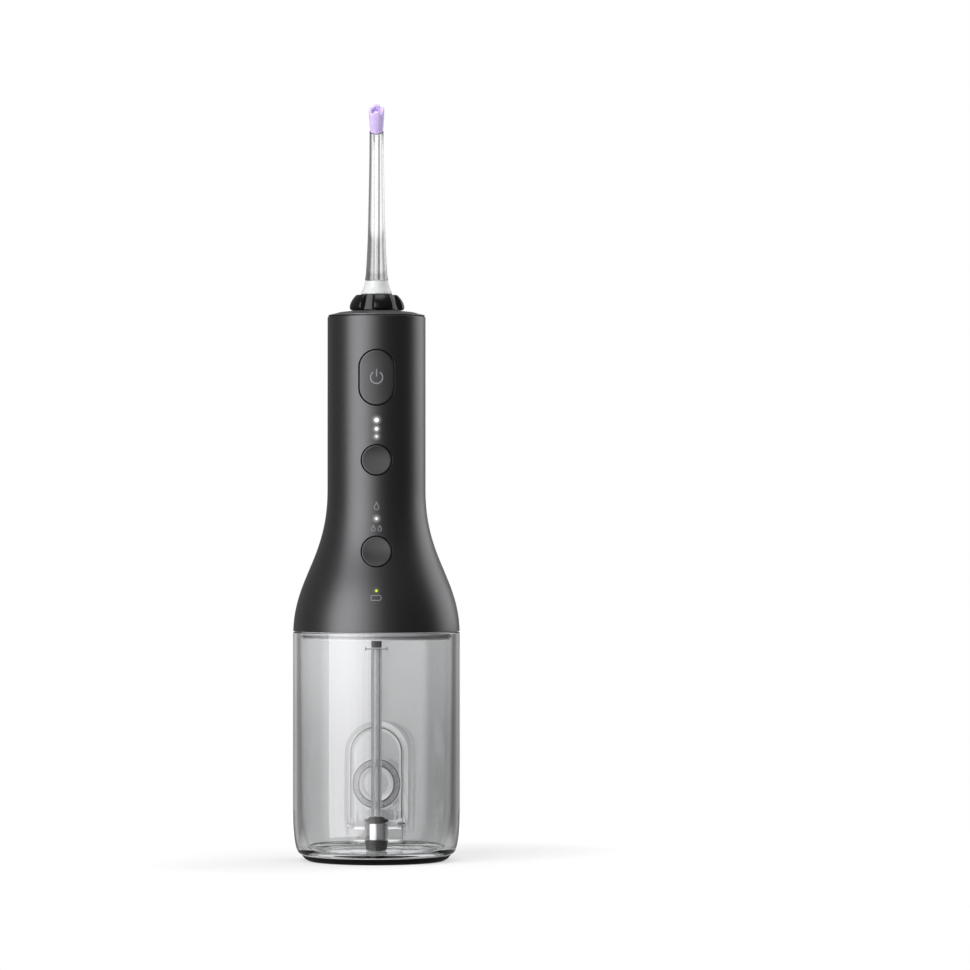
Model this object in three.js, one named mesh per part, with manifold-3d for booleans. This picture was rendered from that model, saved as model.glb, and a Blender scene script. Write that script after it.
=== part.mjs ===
// Cordless water flosser: a handle with its pump, motor and battery, standing on a clear reservoir.
// Millimetres, +Z up. The origin is the centre of the foot ring's lower face. The buttons face -Y.

import * as THREE from 'three';
import { mergeVertices } from 'three/addons/utils/BufferGeometryUtils.js';
import Module from 'manifold-3d';

const wasm = await Module();
wasm.setup();

// ---- Driving dimensions -------------------------------------------------------------------------

const GAP = 0.3;                  // between neighbouring pieces
const ROUND = 28;                 // facets round a large piece
const FINE = 14;                  // facets round a small piece

// Reservoir
const TANK = { r: 33.3, top: 91.3, wall: 2.7, floor: 2.0, cornerR: 2.9, cornerZ: 18 };
const FOOT = { inner: 24.4, outerLow: 26.9, outerHigh: 30, height: 2.6 };

// Fill door at the back of the reservoir
const DOOR = { half: 11.2, archZ: 41.0, skin: 2.0, rim: 1.8, low: 9.1 };
const POCKET = { back: 25.5, front: 28.0, low: 5.0, edge: 2.1 };
const FILL = { z: 28.9, r: 10.5, bossR: 7.0, sealR: 10.0 };
// The door's lower back edge is cut to sweepR round the pin, so that it clears the pocket as it swings.
const DOOR_PIN = {
  y: 30.3, z: 10.8, r: 0.8, from: 9.4, to: 12.6, barrelR: 1.7, barrelFrom: 8.6, sweepR: 2.0,
};

// Handle casing: straight neck, then a flare down to the reservoir's diameter
const NECK_R = 19.6;
const CASE = { low: 91.6, flareLow: 90, flareEnd: 148, top: 217.2, wall: 1.8 };

// Knob, cap and nozzle, up the handle's axis
const CAP = { low: 214.5, rim: 17.4, hole: 6.3, top: 219.5 };
const KNOB = { low: 208, under: 219.9, top: 225.9, r: 11.1, petals: 5, firstPetal: 16 };
const NOZZLE = {
  skirtTop: 231.5, bore: 0.9, bendZ: 283, bendR: 16, bend: 0.7, tip: 292, end: 302.9,
};
const STEM = {
  r: 3.5, low: 203.6, collarR: 4.45, collarLow: 222.3, notchR: 2.45, notchLow: 211.1, notchHigh: 213.8,
};

// Front controls: centre heights and sizes
const POWER = { z: 192.4, halfWide: 6.8, halfHigh: 10.85 };
const INTENSITY = { z: 159.7, halfWide: 5.85, halfHigh: 5.85 };
const MODE = { z: 123.5, halfWide: 5.85, halfHigh: 5.85 };
const BUTTON = { gap: 0.36, proud: 0.12, thick: 2.2, flange: 1.4, travel: 0.6, plungerR: 2.2 };
const LIGHTS = [
  ['high', 175.5, 0.9],
  ['medium', 172.0, 0.8],
  ['low', 169.0, 0.7],
  ['mode', 136.5, 0.8],
  ['battery', 108.1, 0.7],
];

// Board, switches and screws
const BOARD = { front: -11.6, back: -10.4, half: 11, low: 102, high: 206 };
const SWITCH = { half: 3, high: 2.3 };
const BOARD_SCREW = { x: 8.5, heights: [137.6, 191.6] };

// Drive: motor, pinion, gear with its eccentric, rod and piston
const MODULE_MM = 0.525;
const PINION_TEETH = 10;
const GEAR_TEETH = 30;
const GEAR_X = -9;
const DRIVE_Y = 0.5;
const MOTOR_X = GEAR_X + MODULE_MM * (PINION_TEETH + GEAR_TEETH) / 2;
const THROW = 1.5;
const ECCENTRIC_R = 5;
const STRAP = { inner: ECCENTRIC_R + 2 * THROW + GAP, width: 2, low: 96.8, high: 99.8 };
const MOTOR = { r: 10, low: 108.5, canTop: 131.7, capTop: 134.3, boss: 7 };
const PUMP = {
  z: 98.3, bore: 5, outer: 6.5, back: 6, head: 19, blockX: 27, blockHalf: 6, blockLow: 92, blockHigh: 104.8,
};
const VALVE = { x: 24, r: 2.3, seat: 2.6, passage: 1.2 };

// Chassis, battery and pipes
const PLATE = { low: 106.4, high: 108.2, r: 20 };
const SHELF = { low: 137, high: 139, top: 193, topHigh: 194.8, r: 16.8 };
const SPINE = { inner: 15.6, outer: 17.2, halfAngle: 45 };
const CELL = { r: 9, y: 4, low: 139.3, high: 189.3 };
const PIPE_R = 1.6;
const SOCKET = { r: 5.5, bore: 4.1, low: 195.1, high: 207.4, port: 199.5 };

// Suction line hanging in the reservoir
const SPIGOT = { low: 88.4, top: 90.6, r: 29.4 };
const NIPPLE = { r: 2.05, low: 84.9, high: 88.1 };
const HOSE = { r: 2.15, low: 17.4, high: 84.6 };
const WEIGHT = {
  neckR: 2.8, neckHigh: 17.1, flangeR: 4.8, flangeLow: 14.7, flangeHigh: 16.4,
  steelR: 3.75, sleeveR: 4.7, cupLow: 2.3, cupHigh: 7.5,
};

// Charging port at the back of the flare
const PORT = {
  z: 130, halfWide: 7, halfHigh: 4.4, cover: 1.5,
  slotHalfWide: 4.6, slotHalfHigh: 1.7, back: 11.0, bezel: 16.8,
};

// ---- Materials ----------------------------------------------------------------------------------

const paint = (color, roughness, metalness = 0, opacity = 1) =>
  new THREE.MeshStandardMaterial({ color, roughness, metalness, opacity, transparent: opacity < 1 });

const SATIN_BLACK = paint(0x2b2b2d, 0.45);
const GLOSS_BLACK = paint(0x101011, 0.12);
const BUTTON_BLACK = paint(0x252527, 0.4);
const RUBBER_BLACK = paint(0x161616, 0.8);
const CLEAR = paint(0xd8dadc, 0.05, 0, 0.3);
const WHITE_PLASTIC = paint(0xf2f2f2, 0.3);
const GREY_PLASTIC = paint(0x9a9c9e, 0.5);
const LILAC = paint(0xcdb2ee, 0.5);
const SILICONE = paint(0xdadcdd, 0.5, 0, 0.6);
const STEEL = paint(0xb9bcc0, 0.25, 1);
const LIGHT_GUIDE = paint(0xffffff, 0.2, 0, 0.8);
const BOARD_GREEN = paint(0x1d5c36, 0.5);
const CELL_BLUE = paint(0x2b5fa8, 0.4);
const NYLON = paint(0xe8e4d6, 0.5);

// ---- Solids -------------------------------------------------------------------------------------

// A closed geometry as a manifold solid, with its shared vertices merged.
function solid(geometry) {
  const bare = geometry.clone();
  for (const name of Object.keys(bare.attributes)) {
    if (name !== 'position') bare.deleteAttribute(name);
  }
  const merged = mergeVertices(bare, 1e-4);
  const index = merged.index.array;
  const triangles = [];
  for (let i = 0; i < index.length; i += 3) {
    const [a, b, c] = [index[i], index[i + 1], index[i + 2]];
    if (a !== b && b !== c && c !== a) triangles.push(a, b, c);
  }
  return new wasm.Manifold(new wasm.Mesh({
    numProp: 3,
    vertProperties: new Float32Array(merged.attributes.position.array),
    triVerts: new Uint32Array(triangles),
  }));
}

function geometryOf(body) {
  const mesh = body.getMesh();
  const geometry = new THREE.BufferGeometry();
  geometry.setAttribute('position', new THREE.BufferAttribute(new Float32Array(mesh.vertProperties), 3));
  geometry.setIndex(new THREE.BufferAttribute(new Uint32Array(mesh.triVerts), 1));
  geometry.computeVertexNormals();
  return geometry;
}

const join = (...bodies) => bodies.reduce((all, one) => all.add(one));
const cut = (body, ...tools) => tools.reduce((all, one) => all.subtract(one), body);

// Turned about Z from a closed outline of [radius, height] points, listed anticlockwise.
function turnedGeometry(outline, facets = FINE) {
  const points = outline.map(([r, z]) => new THREE.Vector2(r, z));
  const open = outline[0][0] > 0 || outline[outline.length - 1][0] > 0;
  if (open) points.push(points[0].clone());
  return new THREE.LatheGeometry(points, facets).rotateX(Math.PI / 2);
}

const turned = (outline, facets = FINE) => solid(turnedGeometry(outline, facets));

const ring = (inner, outer, low, high, facets = FINE) =>
  turned([[inner, low], [outer, low], [outer, high], [inner, high]], facets);

const disc = (r, low, high, facets = FINE) =>
  turned([[0, low], [r, low], [r, high], [0, high]], facets);

function box(x0, x1, y0, y1, z0, z1) {
  const geometry = new THREE.BoxGeometry(x1 - x0, y1 - y0, z1 - z0);
  return solid(geometry.translate((x0 + x1) / 2, (y0 + y1) / 2, (z0 + z1) / 2));
}

// A rod along one axis between two stations, at the given place on the other two axes.
function rod(axis, r, from, to, place, facets = FINE) {
  const geometry = new THREE.CylinderGeometry(r, r, to - from, facets);
  const middle = (from + to) / 2;
  if (axis === 'x') geometry.rotateZ(-Math.PI / 2).translate(middle, place[0], place[1]);
  if (axis === 'y') geometry.translate(place[0], middle, place[1]);
  if (axis === 'z') geometry.rotateX(Math.PI / 2).translate(place[0], place[1], middle);
  return solid(geometry);
}

// A flat shape pushed along Z, or a shape in the XZ plane pushed along Y.
function raised(shape, low, high) {
  const depth = high - low;
  const geometry = new THREE.ExtrudeGeometry(shape, { depth, bevelEnabled: false, curveSegments: 8 });
  return solid(geometry.translate(0, 0, low));
}

function pushedBack(shape, from, to, curveSegments = 6) {
  const depth = to - from;
  const geometry = new THREE.ExtrudeGeometry(shape, { depth, bevelEnabled: false, curveSegments });
  return solid(geometry.rotateX(Math.PI / 2).translate(0, to, 0));
}

// A solid pipe of one radius along a smooth route.
function pipe(route, r, steps, sides = 8) {
  const section = new THREE.Shape();
  for (let i = 0; i < sides; i += 1) {
    const angle = 2 * Math.PI * i / sides;
    const [u, v] = [r * Math.cos(angle), r * Math.sin(angle)];
    if (i === 0) section.moveTo(u, v);
    else section.lineTo(u, v);
  }
  const stations = route.map((p) => new THREE.Vector3(...p));
  const path = new THREE.CatmullRomCurve3(stations, false, 'centripetal');
  return solid(new THREE.ExtrudeGeometry(section, { steps, extrudePath: path, bevelEnabled: false }));
}

// An upright oblong with round ends, or a circle where both half sizes are the same.
function oblong(halfWide, halfHigh, z, grow = 0) {
  const r = Math.min(halfWide, halfHigh) + grow;
  const [dx, dz] = [halfWide + grow - r, halfHigh + grow - r];
  const shape = new THREE.Shape();
  shape.absarc(dx, z + dz, r, 0, Math.PI / 2, false);
  shape.absarc(-dx, z + dz, r, Math.PI / 2, Math.PI, false);
  shape.absarc(-dx, z - dz, r, Math.PI, 1.5 * Math.PI, false);
  shape.absarc(dx, z - dz, r, 1.5 * Math.PI, 2 * Math.PI, false);
  return shape;
}

// ---- The handle's outer form --------------------------------------------------------------------

const FLARE = new THREE.CubicBezierCurve(
  new THREE.Vector2(TANK.r, CASE.flareLow),
  new THREE.Vector2(TANK.r, 113),
  new THREE.Vector2(NECK_R, 120),
  new THREE.Vector2(NECK_R, CASE.flareEnd),
);

// Radius of the casing's outside at a height.
function caseRadius(z) {
  if (z >= CASE.flareEnd) return NECK_R;
  let [low, high] = [0, 1];
  for (let i = 0; i < 40; i += 1) {
    const middle = (low + high) / 2;
    if (FLARE.getPoint(middle).y < z) low = middle;
    else high = middle;
  }
  return FLARE.getPoint(low).x;
}

// The casing's outside as a solid, grown or shrunk by an offset.
function caseForm(offset, low, high, rounded = false) {
  const heights = FLARE.getPoints(8).map((p) => p.y).filter((z) => z > CASE.low + 0.6 && z > low);
  const wall = heights.map((z) => [caseRadius(z) + offset, z]);
  const base = caseRadius(CASE.low) + offset;
  const foot = rounded ? [[base - 0.4, low], [base, low + 0.5]] : [[base, low]];
  const neck = NECK_R + offset;
  const rim = rounded ? [[neck, high - 0.5], [neck - 0.4, high]] : [[neck, high]];
  return turned([[0, low], ...foot, ...wall, ...rim, [0, high]], ROUND);
}

// ---- Reservoir ----------------------------------------------------------------------------------

// Outer corner of the reservoir: a quarter ellipse from the foot up to the straight wall.
function tankCorner(count) {
  const low = FOOT.height + GAP;
  const points = [];
  for (let i = 0; i < count; i += 1) {
    const angle = Math.PI / 2 * (i / count);
    const r = TANK.r - TANK.cornerR * (1 - Math.sin(angle));
    points.push([r, TANK.cornerZ - (TANK.cornerZ - low) * Math.cos(angle)]);
  }
  return points;
}

function tankForm() {
  const rest = FOOT.inner - 0.4;
  return turned([[0, 0.6], [rest - 0.6, 0.6], [rest, FOOT.height + GAP], ...tankCorner(5),
    [TANK.r, TANK.cornerZ], [TANK.r, TANK.top], [0, TANK.top]], ROUND);
}

function tankInside() {
  const wallR = TANK.r - TANK.wall;
  return turned([[0, TANK.floor], [21.2, TANK.floor + 0.1], [23.6, 4.4], [26.6, 4.6], [28.4, 6.2],
    [29.4, 10.5], [wallR - 0.6, TANK.cornerZ + 4], [wallR - 0.2, 63], [wallR, TANK.top + 5],
    [0, TANK.top + 5]], ROUND);
}

function archShape(half, low, grow = 0) {
  const r = half + grow;
  const shape = new THREE.Shape();
  shape.moveTo(-r, low);
  shape.lineTo(r, low);
  shape.lineTo(r, DOOR.archZ);
  shape.absarc(0, DOOR.archZ, r, 0, Math.PI, false);
  return shape;
}

// A rod on the door's hinge line, at its right or left end.
function hingeRod(side, r, from, to, facets = 12) {
  const [a, b] = side > 0 ? [from, to] : [-to, -from];
  return rod('x', r, a, b, [DOOR_PIN.y, DOOR_PIN.z], facets);
}

function reservoirShell() {
  const form = tankForm();
  const block = pushedBack(archShape(DOOR.half + POCKET.edge, 4), POCKET.back, 40).intersect(form);
  const bearings = [-1, 1].map((side) => hingeRod(side, DOOR_PIN.r + GAP, 0, DOOR_PIN.to + GAP));
  return cut(
    join(cut(form, tankInside()), block),
    pushedBack(archShape(DOOR.half + GAP, POCKET.low), POCKET.front, 40),
    rod('y', FILL.r, 20, 30, [0, FILL.z], 32),
    ...bearings,
  );
}

function footRing() {
  return ring(FOOT.inner, FOOT.outerHigh, 0, FOOT.height, ROUND).intersect(turned([
    [0, 0], [FOOT.outerLow, 0], [28.6, 0.9], [FOOT.outerHigh, FOOT.height], [0, FOOT.height]], ROUND));
}

// A clear panel with a rim, a hollow boss for its plug and a knuckle at each end of its hinge.
function fillDoor() {
  const outside = disc(TANK.r, DOOR.low - 5, 60, ROUND);
  const inside = disc(TANK.r - DOOR.skin, DOOR.low - 6, 61, ROUND);
  const skin = cut(pushedBack(archShape(DOOR.half, DOOR.low), 24, 40).intersect(outside), inside);
  const rimDepth = TANK.r - DOOR.skin + 0.5;
  const window = pushedBack(archShape(DOOR.half - DOOR.rim, DOOR.low + 4), 20, 40);
  const rim = pushedBack(archShape(DOOR.half, DOOR.low), POCKET.front + GAP, rimDepth)
    .intersect(cut(outside, window));
  const knuckles = [-1, 1].map((side) =>
    hingeRod(side, DOOR_PIN.barrelR, DOOR_PIN.barrelFrom, DOOR.half, 16));
  const boss = rod('y', FILL.bossR, POCKET.back + 0.4, TANK.r - 1, [0, FILL.z], 32);
  const hollow = rod('y', FILL.bossR - 1.8, POCKET.back - 1, TANK.r - DOOR.skin, [0, FILL.z], 32);
  const heel = cut(
    box(-20, 20, 20, DOOR_PIN.y, 0, DOOR_PIN.z),
    rod('x', DOOR_PIN.sweepR, -20, 20, [DOOR_PIN.y, DOOR_PIN.z], 24),
  );
  const bores = [-1, 1].map((side) => hingeRod(side, DOOR_PIN.r + GAP, DOOR_PIN.from - GAP, 20));
  return cut(join(skin, rim, ...knuckles, boss), hollow, heel, ...bores);
}

function fillPlugSeal() {
  const from = POCKET.back + 0.5;
  const to = POCKET.front + 0.1;
  const round = rod('y', FILL.sealR, from, to, [0, FILL.z], 32);
  return cut(round, rod('y', FILL.bossR + GAP, 0, 40, [0, FILL.z], 32));
}

const hingePin = (side) => hingeRod(side, DOOR_PIN.r, DOOR_PIN.from, DOOR_PIN.to);

// ---- Suction line -------------------------------------------------------------------------------

function spigotPlate() {
  const [low, top, r] = [SPIGOT.low, SPIGOT.top, SPIGOT.r];
  const rimR = caseRadius(CASE.low) - CASE.wall - 0.4;
  return turned([[0.9, low], [r, low], [r, low + 0.5], [r - 1, low + 0.5], [r - 1, low + 1.9],
    [r, low + 1.9], [r, CASE.low], [rimR, CASE.low + 0.2], [rimR, 94], [rimR - 1.5, 94],
    [rimR - 1.5, top], [0.9, top]], ROUND);
}

const reservoirGasket = () =>
  ring(SPIGOT.r - 0.7, SPIGOT.r + 0.9, SPIGOT.low + 0.8, SPIGOT.low + 1.6, ROUND);

const suctionNipple = () => ring(0.8, NIPPLE.r, NIPPLE.low, NIPPLE.high, 16);

function suctionTube() {
  return pipe([[0, 0, HOSE.high], [0, 0, 62], [0, 0, 40], [0, 0, HOSE.low]], HOSE.r, 7, 12);
}

function weightFlange() {
  const { neckR, flangeR, flangeLow, flangeHigh, neckHigh } = WEIGHT;
  return turned([[0.8, flangeLow], [flangeR, flangeLow], [flangeR, flangeHigh], [neckR, flangeHigh],
    [neckR, neckHigh], [0.8, neckHigh]]);
}

const steelWeight = () => ring(1, WEIGHT.steelR, WEIGHT.cupHigh + GAP, WEIGHT.flangeLow - GAP);

const weightSleeve = () =>
  ring(WEIGHT.steelR + GAP, WEIGHT.sleeveR, WEIGHT.cupHigh + GAP, WEIGHT.flangeLow - GAP);

function filterCup() {
  const { cupLow, cupHigh } = WEIGHT;
  return turned([[2.4, cupLow], [3.7, cupLow], [4.1, cupLow + 0.4], [4.75, cupHigh], [1, cupHigh],
    [1, cupHigh - 1.5], [3.1, cupHigh - 1.5], [2.9, cupLow + 1]]);
}

// ---- Handle casing, cap and controls ------------------------------------------------------------

function handleCasing() {
  const cavity = caseForm(-CASE.wall, CASE.low - 5, CASE.top + 5);
  const shell = cut(caseForm(0, CASE.low, CASE.top, true), cavity);
  const buttonHoles = [POWER, INTENSITY, MODE].map((b) =>
    pushedBack(oblong(b.halfWide, b.halfHigh, b.z, BUTTON.gap), -40, -8));
  const lightHoles = LIGHTS.map(([, z, r]) => rod('y', r + GAP, -40, -8, [0, z], 8));
  const portHole = pushedBack(oblong(PORT.halfWide, PORT.halfHigh, PORT.z, GAP), 8, 40);
  return cut(shell, ...buttonHoles, ...lightHoles, portHole);
}

function topCap() {
  const { low, rim, hole, top } = CAP;
  const seat = CASE.top + GAP;
  return turned([[hole, low], [8.5, low], [8.5, seat], [rim - 1.7, seat], [rim - 1.7, low],
    [rim, low], [rim, seat], [19.3, seat], [19.3, 217.9], [17.4, 218.3], [14.9, 219.0],
    [10.5, top], [hole, top]], ROUND);
}

// A button cap flush with the casing, its flange inside the wall and its plunger to the switch.
function button({ z, halfWide, halfHigh }) {
  const face = pushedBack(oblong(halfWide, halfHigh, z), -40, -8)
    .intersect(caseForm(BUTTON.proud, 80, 230));
  const cap = cut(face, caseForm(-BUTTON.thick, 70, 240));
  const wide = pushedBack(oblong(halfWide, halfHigh, z, BUTTON.flange), -40, -8)
    .intersect(caseForm(-CASE.wall - GAP, 80, 230));
  const flange = cut(wide, caseForm(-CASE.wall - GAP - 0.9, 70, 240));
  const tip = BOARD.front - GAP - SWITCH.high - GAP - BUTTON.travel;
  const plunger = rod('y', BUTTON.plungerR, -caseRadius(z) + 1, tip, [0, z], 16);
  return join(cap, flange, plunger);
}

function buttonGasket({ z }) {
  const front = -caseRadius(z + MODE.halfHigh) + CASE.wall + 4.6;
  const wall = rod('y', 5.4, Math.min(front, BOARD.front - 1.2), BOARD.front - GAP, [0, z], 20);
  return cut(wall, rod('y', 4.5, -40, 0, [0, z], 20));
}

function tactSwitch({ z }) {
  const { half, high } = SWITCH;
  const back = BOARD.front - GAP;
  return box(-half, half, back - high, back, z - half, z + half);
}

const lightGuide = (z, r) => rod('y', r, -caseRadius(z) + 0.08, BOARD.front - 0.6, [0, z], 12);

// ---- Board, chassis, battery --------------------------------------------------------------------

const circuitBoard = () => cut(
  box(-BOARD.half, BOARD.half, BOARD.front, BOARD.back, BOARD.low, BOARD.high),
  ...BOARD_SCREW.heights.map((z) => rod('y', 1.2, -20, 0, [BOARD_SCREW.x, z], 12)),
);

function boardScrew(z) {
  return join(
    rod('y', 1.8, BOARD.front - GAP - 1.2, BOARD.front - GAP, [BOARD_SCREW.x, z], 12),
    rod('y', 0.9, BOARD.front - GAP, -7, [BOARD_SCREW.x, z], 12),
  );
}

function clippedDisc(r, cutY) {
  const angle = Math.asin(cutY / r);
  const shape = new THREE.Shape();
  shape.absarc(0, 0, r, angle, Math.PI - angle, false);
  return shape;
}

function spineShape() {
  const half = SPINE.halfAngle * Math.PI / 180;
  const shape = new THREE.Shape();
  shape.absarc(0, 0, SPINE.outer, Math.PI / 2 - half, Math.PI / 2 + half, false);
  shape.absarc(0, 0, SPINE.inner, Math.PI / 2 + half, Math.PI / 2 - half, true);
  return shape;
}

function chassis() {
  const front = BOARD.back + GAP;
  const tabs = BOARD_SCREW.heights.map((z) =>
    box(BOARD_SCREW.x - 2.5, BOARD_SCREW.x + 2.5, front, -6, z - 3.2, z + 3.2));
  return cut(
    join(
      raised(clippedDisc(PLATE.r, front), PLATE.low, PLATE.high),
      raised(spineShape(), PLATE.high - 0.5, SHELF.topHigh),
      raised(clippedDisc(SHELF.r, front), SHELF.low, SHELF.high),
      raised(clippedDisc(SHELF.r, front), SHELF.top, SHELF.topHigh),
      ...tabs,
    ),
    ...BOARD_SCREW.heights.map((z) => rod('y', 1.2, -20, -6.6, [BOARD_SCREW.x, z], 8)),
    rod('z', 2.6, 120, 200, [13, CELL.y], 10),
    box(-8, 8, 10, 30, 123.5, 136),
    rod('z', 4, 100, 110, [MOTOR_X, DRIVE_Y], 14),
    rod('z', 1.5 + GAP, 100, 110, [GEAR_X, DRIVE_Y], 10),
    ...[-1, 1].map((side) => rod('z', 1.2, 100, 110, [MOTOR_X, DRIVE_Y + side * MOTOR.boss], 8)),
  );
}

const batteryCell = () => join(
  rod('z', CELL.r, CELL.low, CELL.high, [0, CELL.y]),
  rod('z', 2.6, CELL.high, CELL.high + 1.2, [0, CELL.y]),
);

// ---- Drive --------------------------------------------------------------------------------------

// Straight-flanked teeth with running backlash; a tooth or a gap centre faces +X.
function toothedShape(teeth, toothFaces, tipShare) {
  const shape = new THREE.Shape();
  const step = 2 * Math.PI / teeth;
  const quarter = step / 4;
  const root = MODULE_MM * (teeth / 2 - 1.2);
  const tip = MODULE_MM * (teeth / 2 + 0.9);
  for (let i = 0; i < teeth; i += 1) {
    const centre = (i + (toothFaces ? 0 : 0.5)) * step;
    const corners = [[root, -1.3], [tip, -tipShare], [tip, tipShare], [root, 1.3]];
    corners.forEach(([r, share], n) => {
      const angle = centre + share * quarter;
      if (i === 0 && n === 0) shape.moveTo(r * Math.cos(angle), r * Math.sin(angle));
      else shape.lineTo(r * Math.cos(angle), r * Math.sin(angle));
    });
  }
  return shape;
}

function driveGear() {
  const teeth = raised(toothedShape(GEAR_TEETH, true, 0.45), 102, 105);
  const eccentric = rod('z', ECCENTRIC_R, 96.4, 102.4, [0, THROW], 32);
  const bore = rod('z', 1.5 + GAP, 90, 110, [0, 0], 16);
  return cut(join(teeth, eccentric), bore).translate([GEAR_X, DRIVE_Y, 0]);
}

function motorPinion() {
  const teeth = raised(toothedShape(PINION_TEETH, false, 0.4), 101.5, 106);
  return join(teeth, rod('z', 1, 101.2, 130, [0, 0], 12)).translate([MOTOR_X, DRIVE_Y, 0]);
}

const gearShaft = () => rod('z', 1.5, 94, PLATE.high - 0.2, [GEAR_X, DRIVE_Y], 16);

function motorCan() {
  const can = rod('z', MOTOR.r, MOTOR.low, MOTOR.canTop, [MOTOR_X, DRIVE_Y], 28);
  const nose = rod('z', 3.4, PLATE.low + 0.3, MOTOR.low + 0.5, [MOTOR_X, DRIVE_Y], 20);
  const threads = [-1, 1].map((side) =>
    rod('z', 1.2, 100, MOTOR.low + 2.6, [MOTOR_X, DRIVE_Y + side * MOTOR.boss], 12));
  return cut(join(can, nose), rod('z', 1 + GAP, 100, 130.5, [MOTOR_X, DRIVE_Y], 12), ...threads);
}

const motorEndCap = () => join(
  rod('z', 8.6, MOTOR.canTop + GAP, MOTOR.capTop - 0.8, [MOTOR_X, DRIVE_Y]),
  rod('z', 3, MOTOR.canTop + GAP, MOTOR.capTop, [MOTOR_X, DRIVE_Y], 16),
);

function motorScrew(side) {
  const place = [MOTOR_X, DRIVE_Y + side * MOTOR.boss];
  return join(
    rod('z', 1.7, PLATE.low - GAP - 1.1, PLATE.low - GAP, place, 12),
    rod('z', 0.9, PLATE.low - GAP - 0.1, MOTOR.low + 2.2, place, 12),
  );
}

function connectingRod() {
  const { inner, width, low, high } = STRAP;
  const strap = cut(
    rod('z', inner + width, low, high, [GEAR_X, DRIVE_Y], 32),
    rod('z', inner, low - 1, high + 1, [GEAR_X, DRIVE_Y], 32),
  );
  return join(strap, box(GEAR_X + inner + 0.8, 11.6, DRIVE_Y - 1.9, DRIVE_Y + 1.9, low, high));
}

// Pieces turned about the pump's axis, given as [radius, distance along X].
function turnedAlongPump(outline) {
  const geometry = turnedGeometry(outline, FINE).rotateY(Math.PI / 2);
  return solid(geometry.translate(0, DRIVE_Y, PUMP.z));
}

const piston = () => turnedAlongPump([[0, 12], [3, 12], [3, 9.3], [4.3, 9.3], [4.3, 12.5], [3.4, 12.5],
  [3.4, 14.3], [4.3, 14.3], [4.3, 16], [0, 16]]);

const pistonSeal = () => turnedAlongPump([[3.7, 12.8], [4.7, 12.8], [4.7, 14], [3.7, 14]]);

function pumpCylinder() {
  const { z, bore, outer, back, head, blockX, blockHalf, blockLow, blockHigh } = PUMP;
  const barrel = rod('x', outer, back, head + 1, [DRIVE_Y, z]);
  const block = box(head, blockX, DRIVE_Y - blockHalf, DRIVE_Y + blockHalf, blockLow, blockHigh);
  const post = box(8, 12, DRIVE_Y - 3, DRIVE_Y + 3, z + 5.4, PLATE.low - GAP);
  return cut(
    join(barrel, block, post),
    rod('x', bore, back - 1, head, [DRIVE_Y, z]),
    rod('x', VALVE.passage, head - 1, VALVE.x + 0.2, [DRIVE_Y, z], 12),
    rod('y', VALVE.passage, -3, DRIVE_Y, [VALVE.x, z], 12),
    rod('y', VALVE.seat, DRIVE_Y - blockHalf - 1, -1, [VALVE.x, z], 16),
    rod('z', VALVE.passage, z, 102, [VALVE.x, DRIVE_Y], 12),
    rod('z', VALVE.seat, 101, blockHigh + 1, [VALVE.x, DRIVE_Y], 16),
  );
}

// An umbrella valve, standing along Z with its dish up, at the origin.
const UMBRELLA = [[0, -1], [0.8, -1], [0.8, 0], [VALVE.r, 0], [VALVE.r, 0.7], [0, 1.1]];
const umbrella = () => turnedGeometry(UMBRELLA, 16);
const inletValve = () => solid(umbrella().rotateX(-Math.PI / 2).translate(VALVE.x, -2.4, PUMP.z));
const outletValve = () => solid(umbrella().translate(VALVE.x, DRIVE_Y, 102.2));

// ---- Pipes and nozzle socket --------------------------------------------------------------------

const inletPipe = () => pipe([
  [0, 0, SPIGOT.top + GAP], [0, 0, 92.4], [5, -7, 93.4], [13, -11.5, 94.6], [21.5, -11.5, 96.8],
  [VALVE.x, -8, PUMP.z], [VALVE.x, DRIVE_Y - PUMP.blockHalf - GAP, PUMP.z],
], PIPE_R, 16, 6);

const outletPipe = () => pipe([
  [VALVE.x, DRIVE_Y, PUMP.blockHigh + GAP], [VALVE.x, DRIVE_Y, 108.5], [20, 2.6, 116],
  [15.2, 3.7, 126], [13, CELL.y, 136], [13, CELL.y, 162], [13, CELL.y, 190], [12, 3.2, 196.4],
  [9.2, 1, SOCKET.port], [SOCKET.r + GAP, 0, SOCKET.port],
], PIPE_R, 26, 6);

function nozzleSocket() {
  const { r, bore, low, high, port } = SOCKET;
  return cut(
    turned([[0, low], [r, low], [r, high], [bore, high], [bore, 198.2], [0, 198.2]]),
    rod('x', 1, 2, r + 1, [0, port], 12),
  );
}

// ---- Knob and nozzle ----------------------------------------------------------------------------

// Radius of the knob in a valley between two petals.
const valleyRadius = (z) => 7.9 + 0.34 * (KNOB.top - z);

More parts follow.
